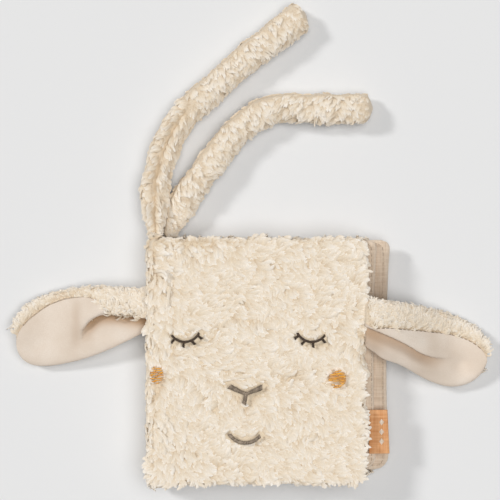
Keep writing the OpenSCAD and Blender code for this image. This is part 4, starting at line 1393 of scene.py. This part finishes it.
# A ribbon folded double: its run goes out along the top, round the fold and
# back below, and droops a little towards the leaf under it.
def labelShape():
    n, m, half, turnShare = labelLook["along"], labelLook["across"], labelLook["half"], labelLook["turn"]
    s, w = np.meshgrid(np.linspace(0, 1, n), np.linspace(0, 1, m), indexing="ij")
    reach = labelHigh[0] - labelLow[0]
    leg = (1 - turnShare) / 2
    out = np.clip(np.minimum(s, 1 - s) / leg, 0, 1)
    turn = np.clip((s - leg) / turnShare, 0, 1) * math.pi
    x = labelLow[0] + out * (reach - half) + half * np.sin(turn)
    y = mix(labelLow[1], labelHigh[1], w)
    share = np.clip((x - labelLow[0]) / reach, 0, 1)
    z = (labelLow[2] + labelHigh[2]) / 2 + half * np.cos(turn) - labelLook["droop"] * share ** 2 \
        + 0.12 * np.sin(y * 0.5) * share
    outer = np.stack([x + labelLook["lean"] * (1 - w) * share - 0.9, y, z], -1)
    normal = unit(np.cross(np.gradient(outer, axis=0), np.gradient(outer, axis=1)))
    inner = outer - normal * labelLook["thick"]
    return np.concatenate([outer.reshape(-1, 3), inner.reshape(-1, 3)]), shellFaces(n, m)


# Threads in the shape of small diamonds, one above another near the fold
def motifShape(tree):
    starts, ends = [], []
    for k in range(labelLook["motif"]):
        r, cx = labelLook["radius"], labelHigh[0] - labelLook["fromFold"]
        cy = mix(labelLow[1], labelHigh[1], labelLook["from"] + labelLook["apart"] * k)
        for j in range(labelLook["rows"]):
            y = cy + mix(-1, 1, (j + 0.5) / labelLook["rows"]) * r
            half = r * (1 - abs(y - cy) / r) * 0.8 + 0.15
            starts.append((cx - half, y, heightOn(tree, cx - half, y) + 0.05))
            ends.append((cx + half, y, heightOn(tree, cx + half, y) + 0.05))
    return threads(np.array(starts), np.array(ends), 0.19, 0.1, 81)


label = newPiece("folded_label", labelShape(), ribbon, "front_cover", ["label"])
newPiece("label_motif", motifShape(treeOf(label)), creamThread, "front_cover")
print("label made")


# Gutter cloth, which crosses the hinges when the book is opened

gutterHalf = 0.15
gutters = {
    "front": {"x": (foldX + 1.2, pagesLow[0] + 4), "z": pagesHigh[2] + 0.2, "inset": 6,
              "hold": (foldX + 1.8, pagesLow[0] + 2)},
    "back": {"x": (backLow[0] - 4, pagesLow[0] + 3), "z": pagesHigh[2] - 0.5, "inset": 7,
             "hold": (backLow[0] - 2, pagesLow[0] + 1.5)},
}

for key, g in gutters.items():
    half = halfHeight - g["inset"]
    x, y = np.meshgrid(np.linspace(*g["x"], 24), np.linspace(-half, half, 50), indexing="ij")
    sheets = [np.stack([x, y, np.full_like(x, g["z"] + way * gutterHalf)], -1).reshape(-1, 3)
              for way in (1, -1)]
    gutter = newPiece("gutter_" + key, (np.concatenate(sheets), shellFaces(*x.shape)), lining)
    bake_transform(gutter)


# Floor

floorMaterial, _, floorShader = newMaterial("studio_floor", 0.95, specular=0.05)
floorShader.inputs["Base Color"].default_value = (*linear(229, 229, 229), 1)
floorSize = 6000
corners = np.array([[-1, -1, 0], [1, -1, 0], [1, 1, 0], [-1, 1, 0]]) * floorSize
floor = newPiece("studio_floor", (corners, [np.array([[0, 1, 2, 3]])]), floorMaterial)

print("locks", pileCount["locks"], "pile triangles", pileCount["triangles"])
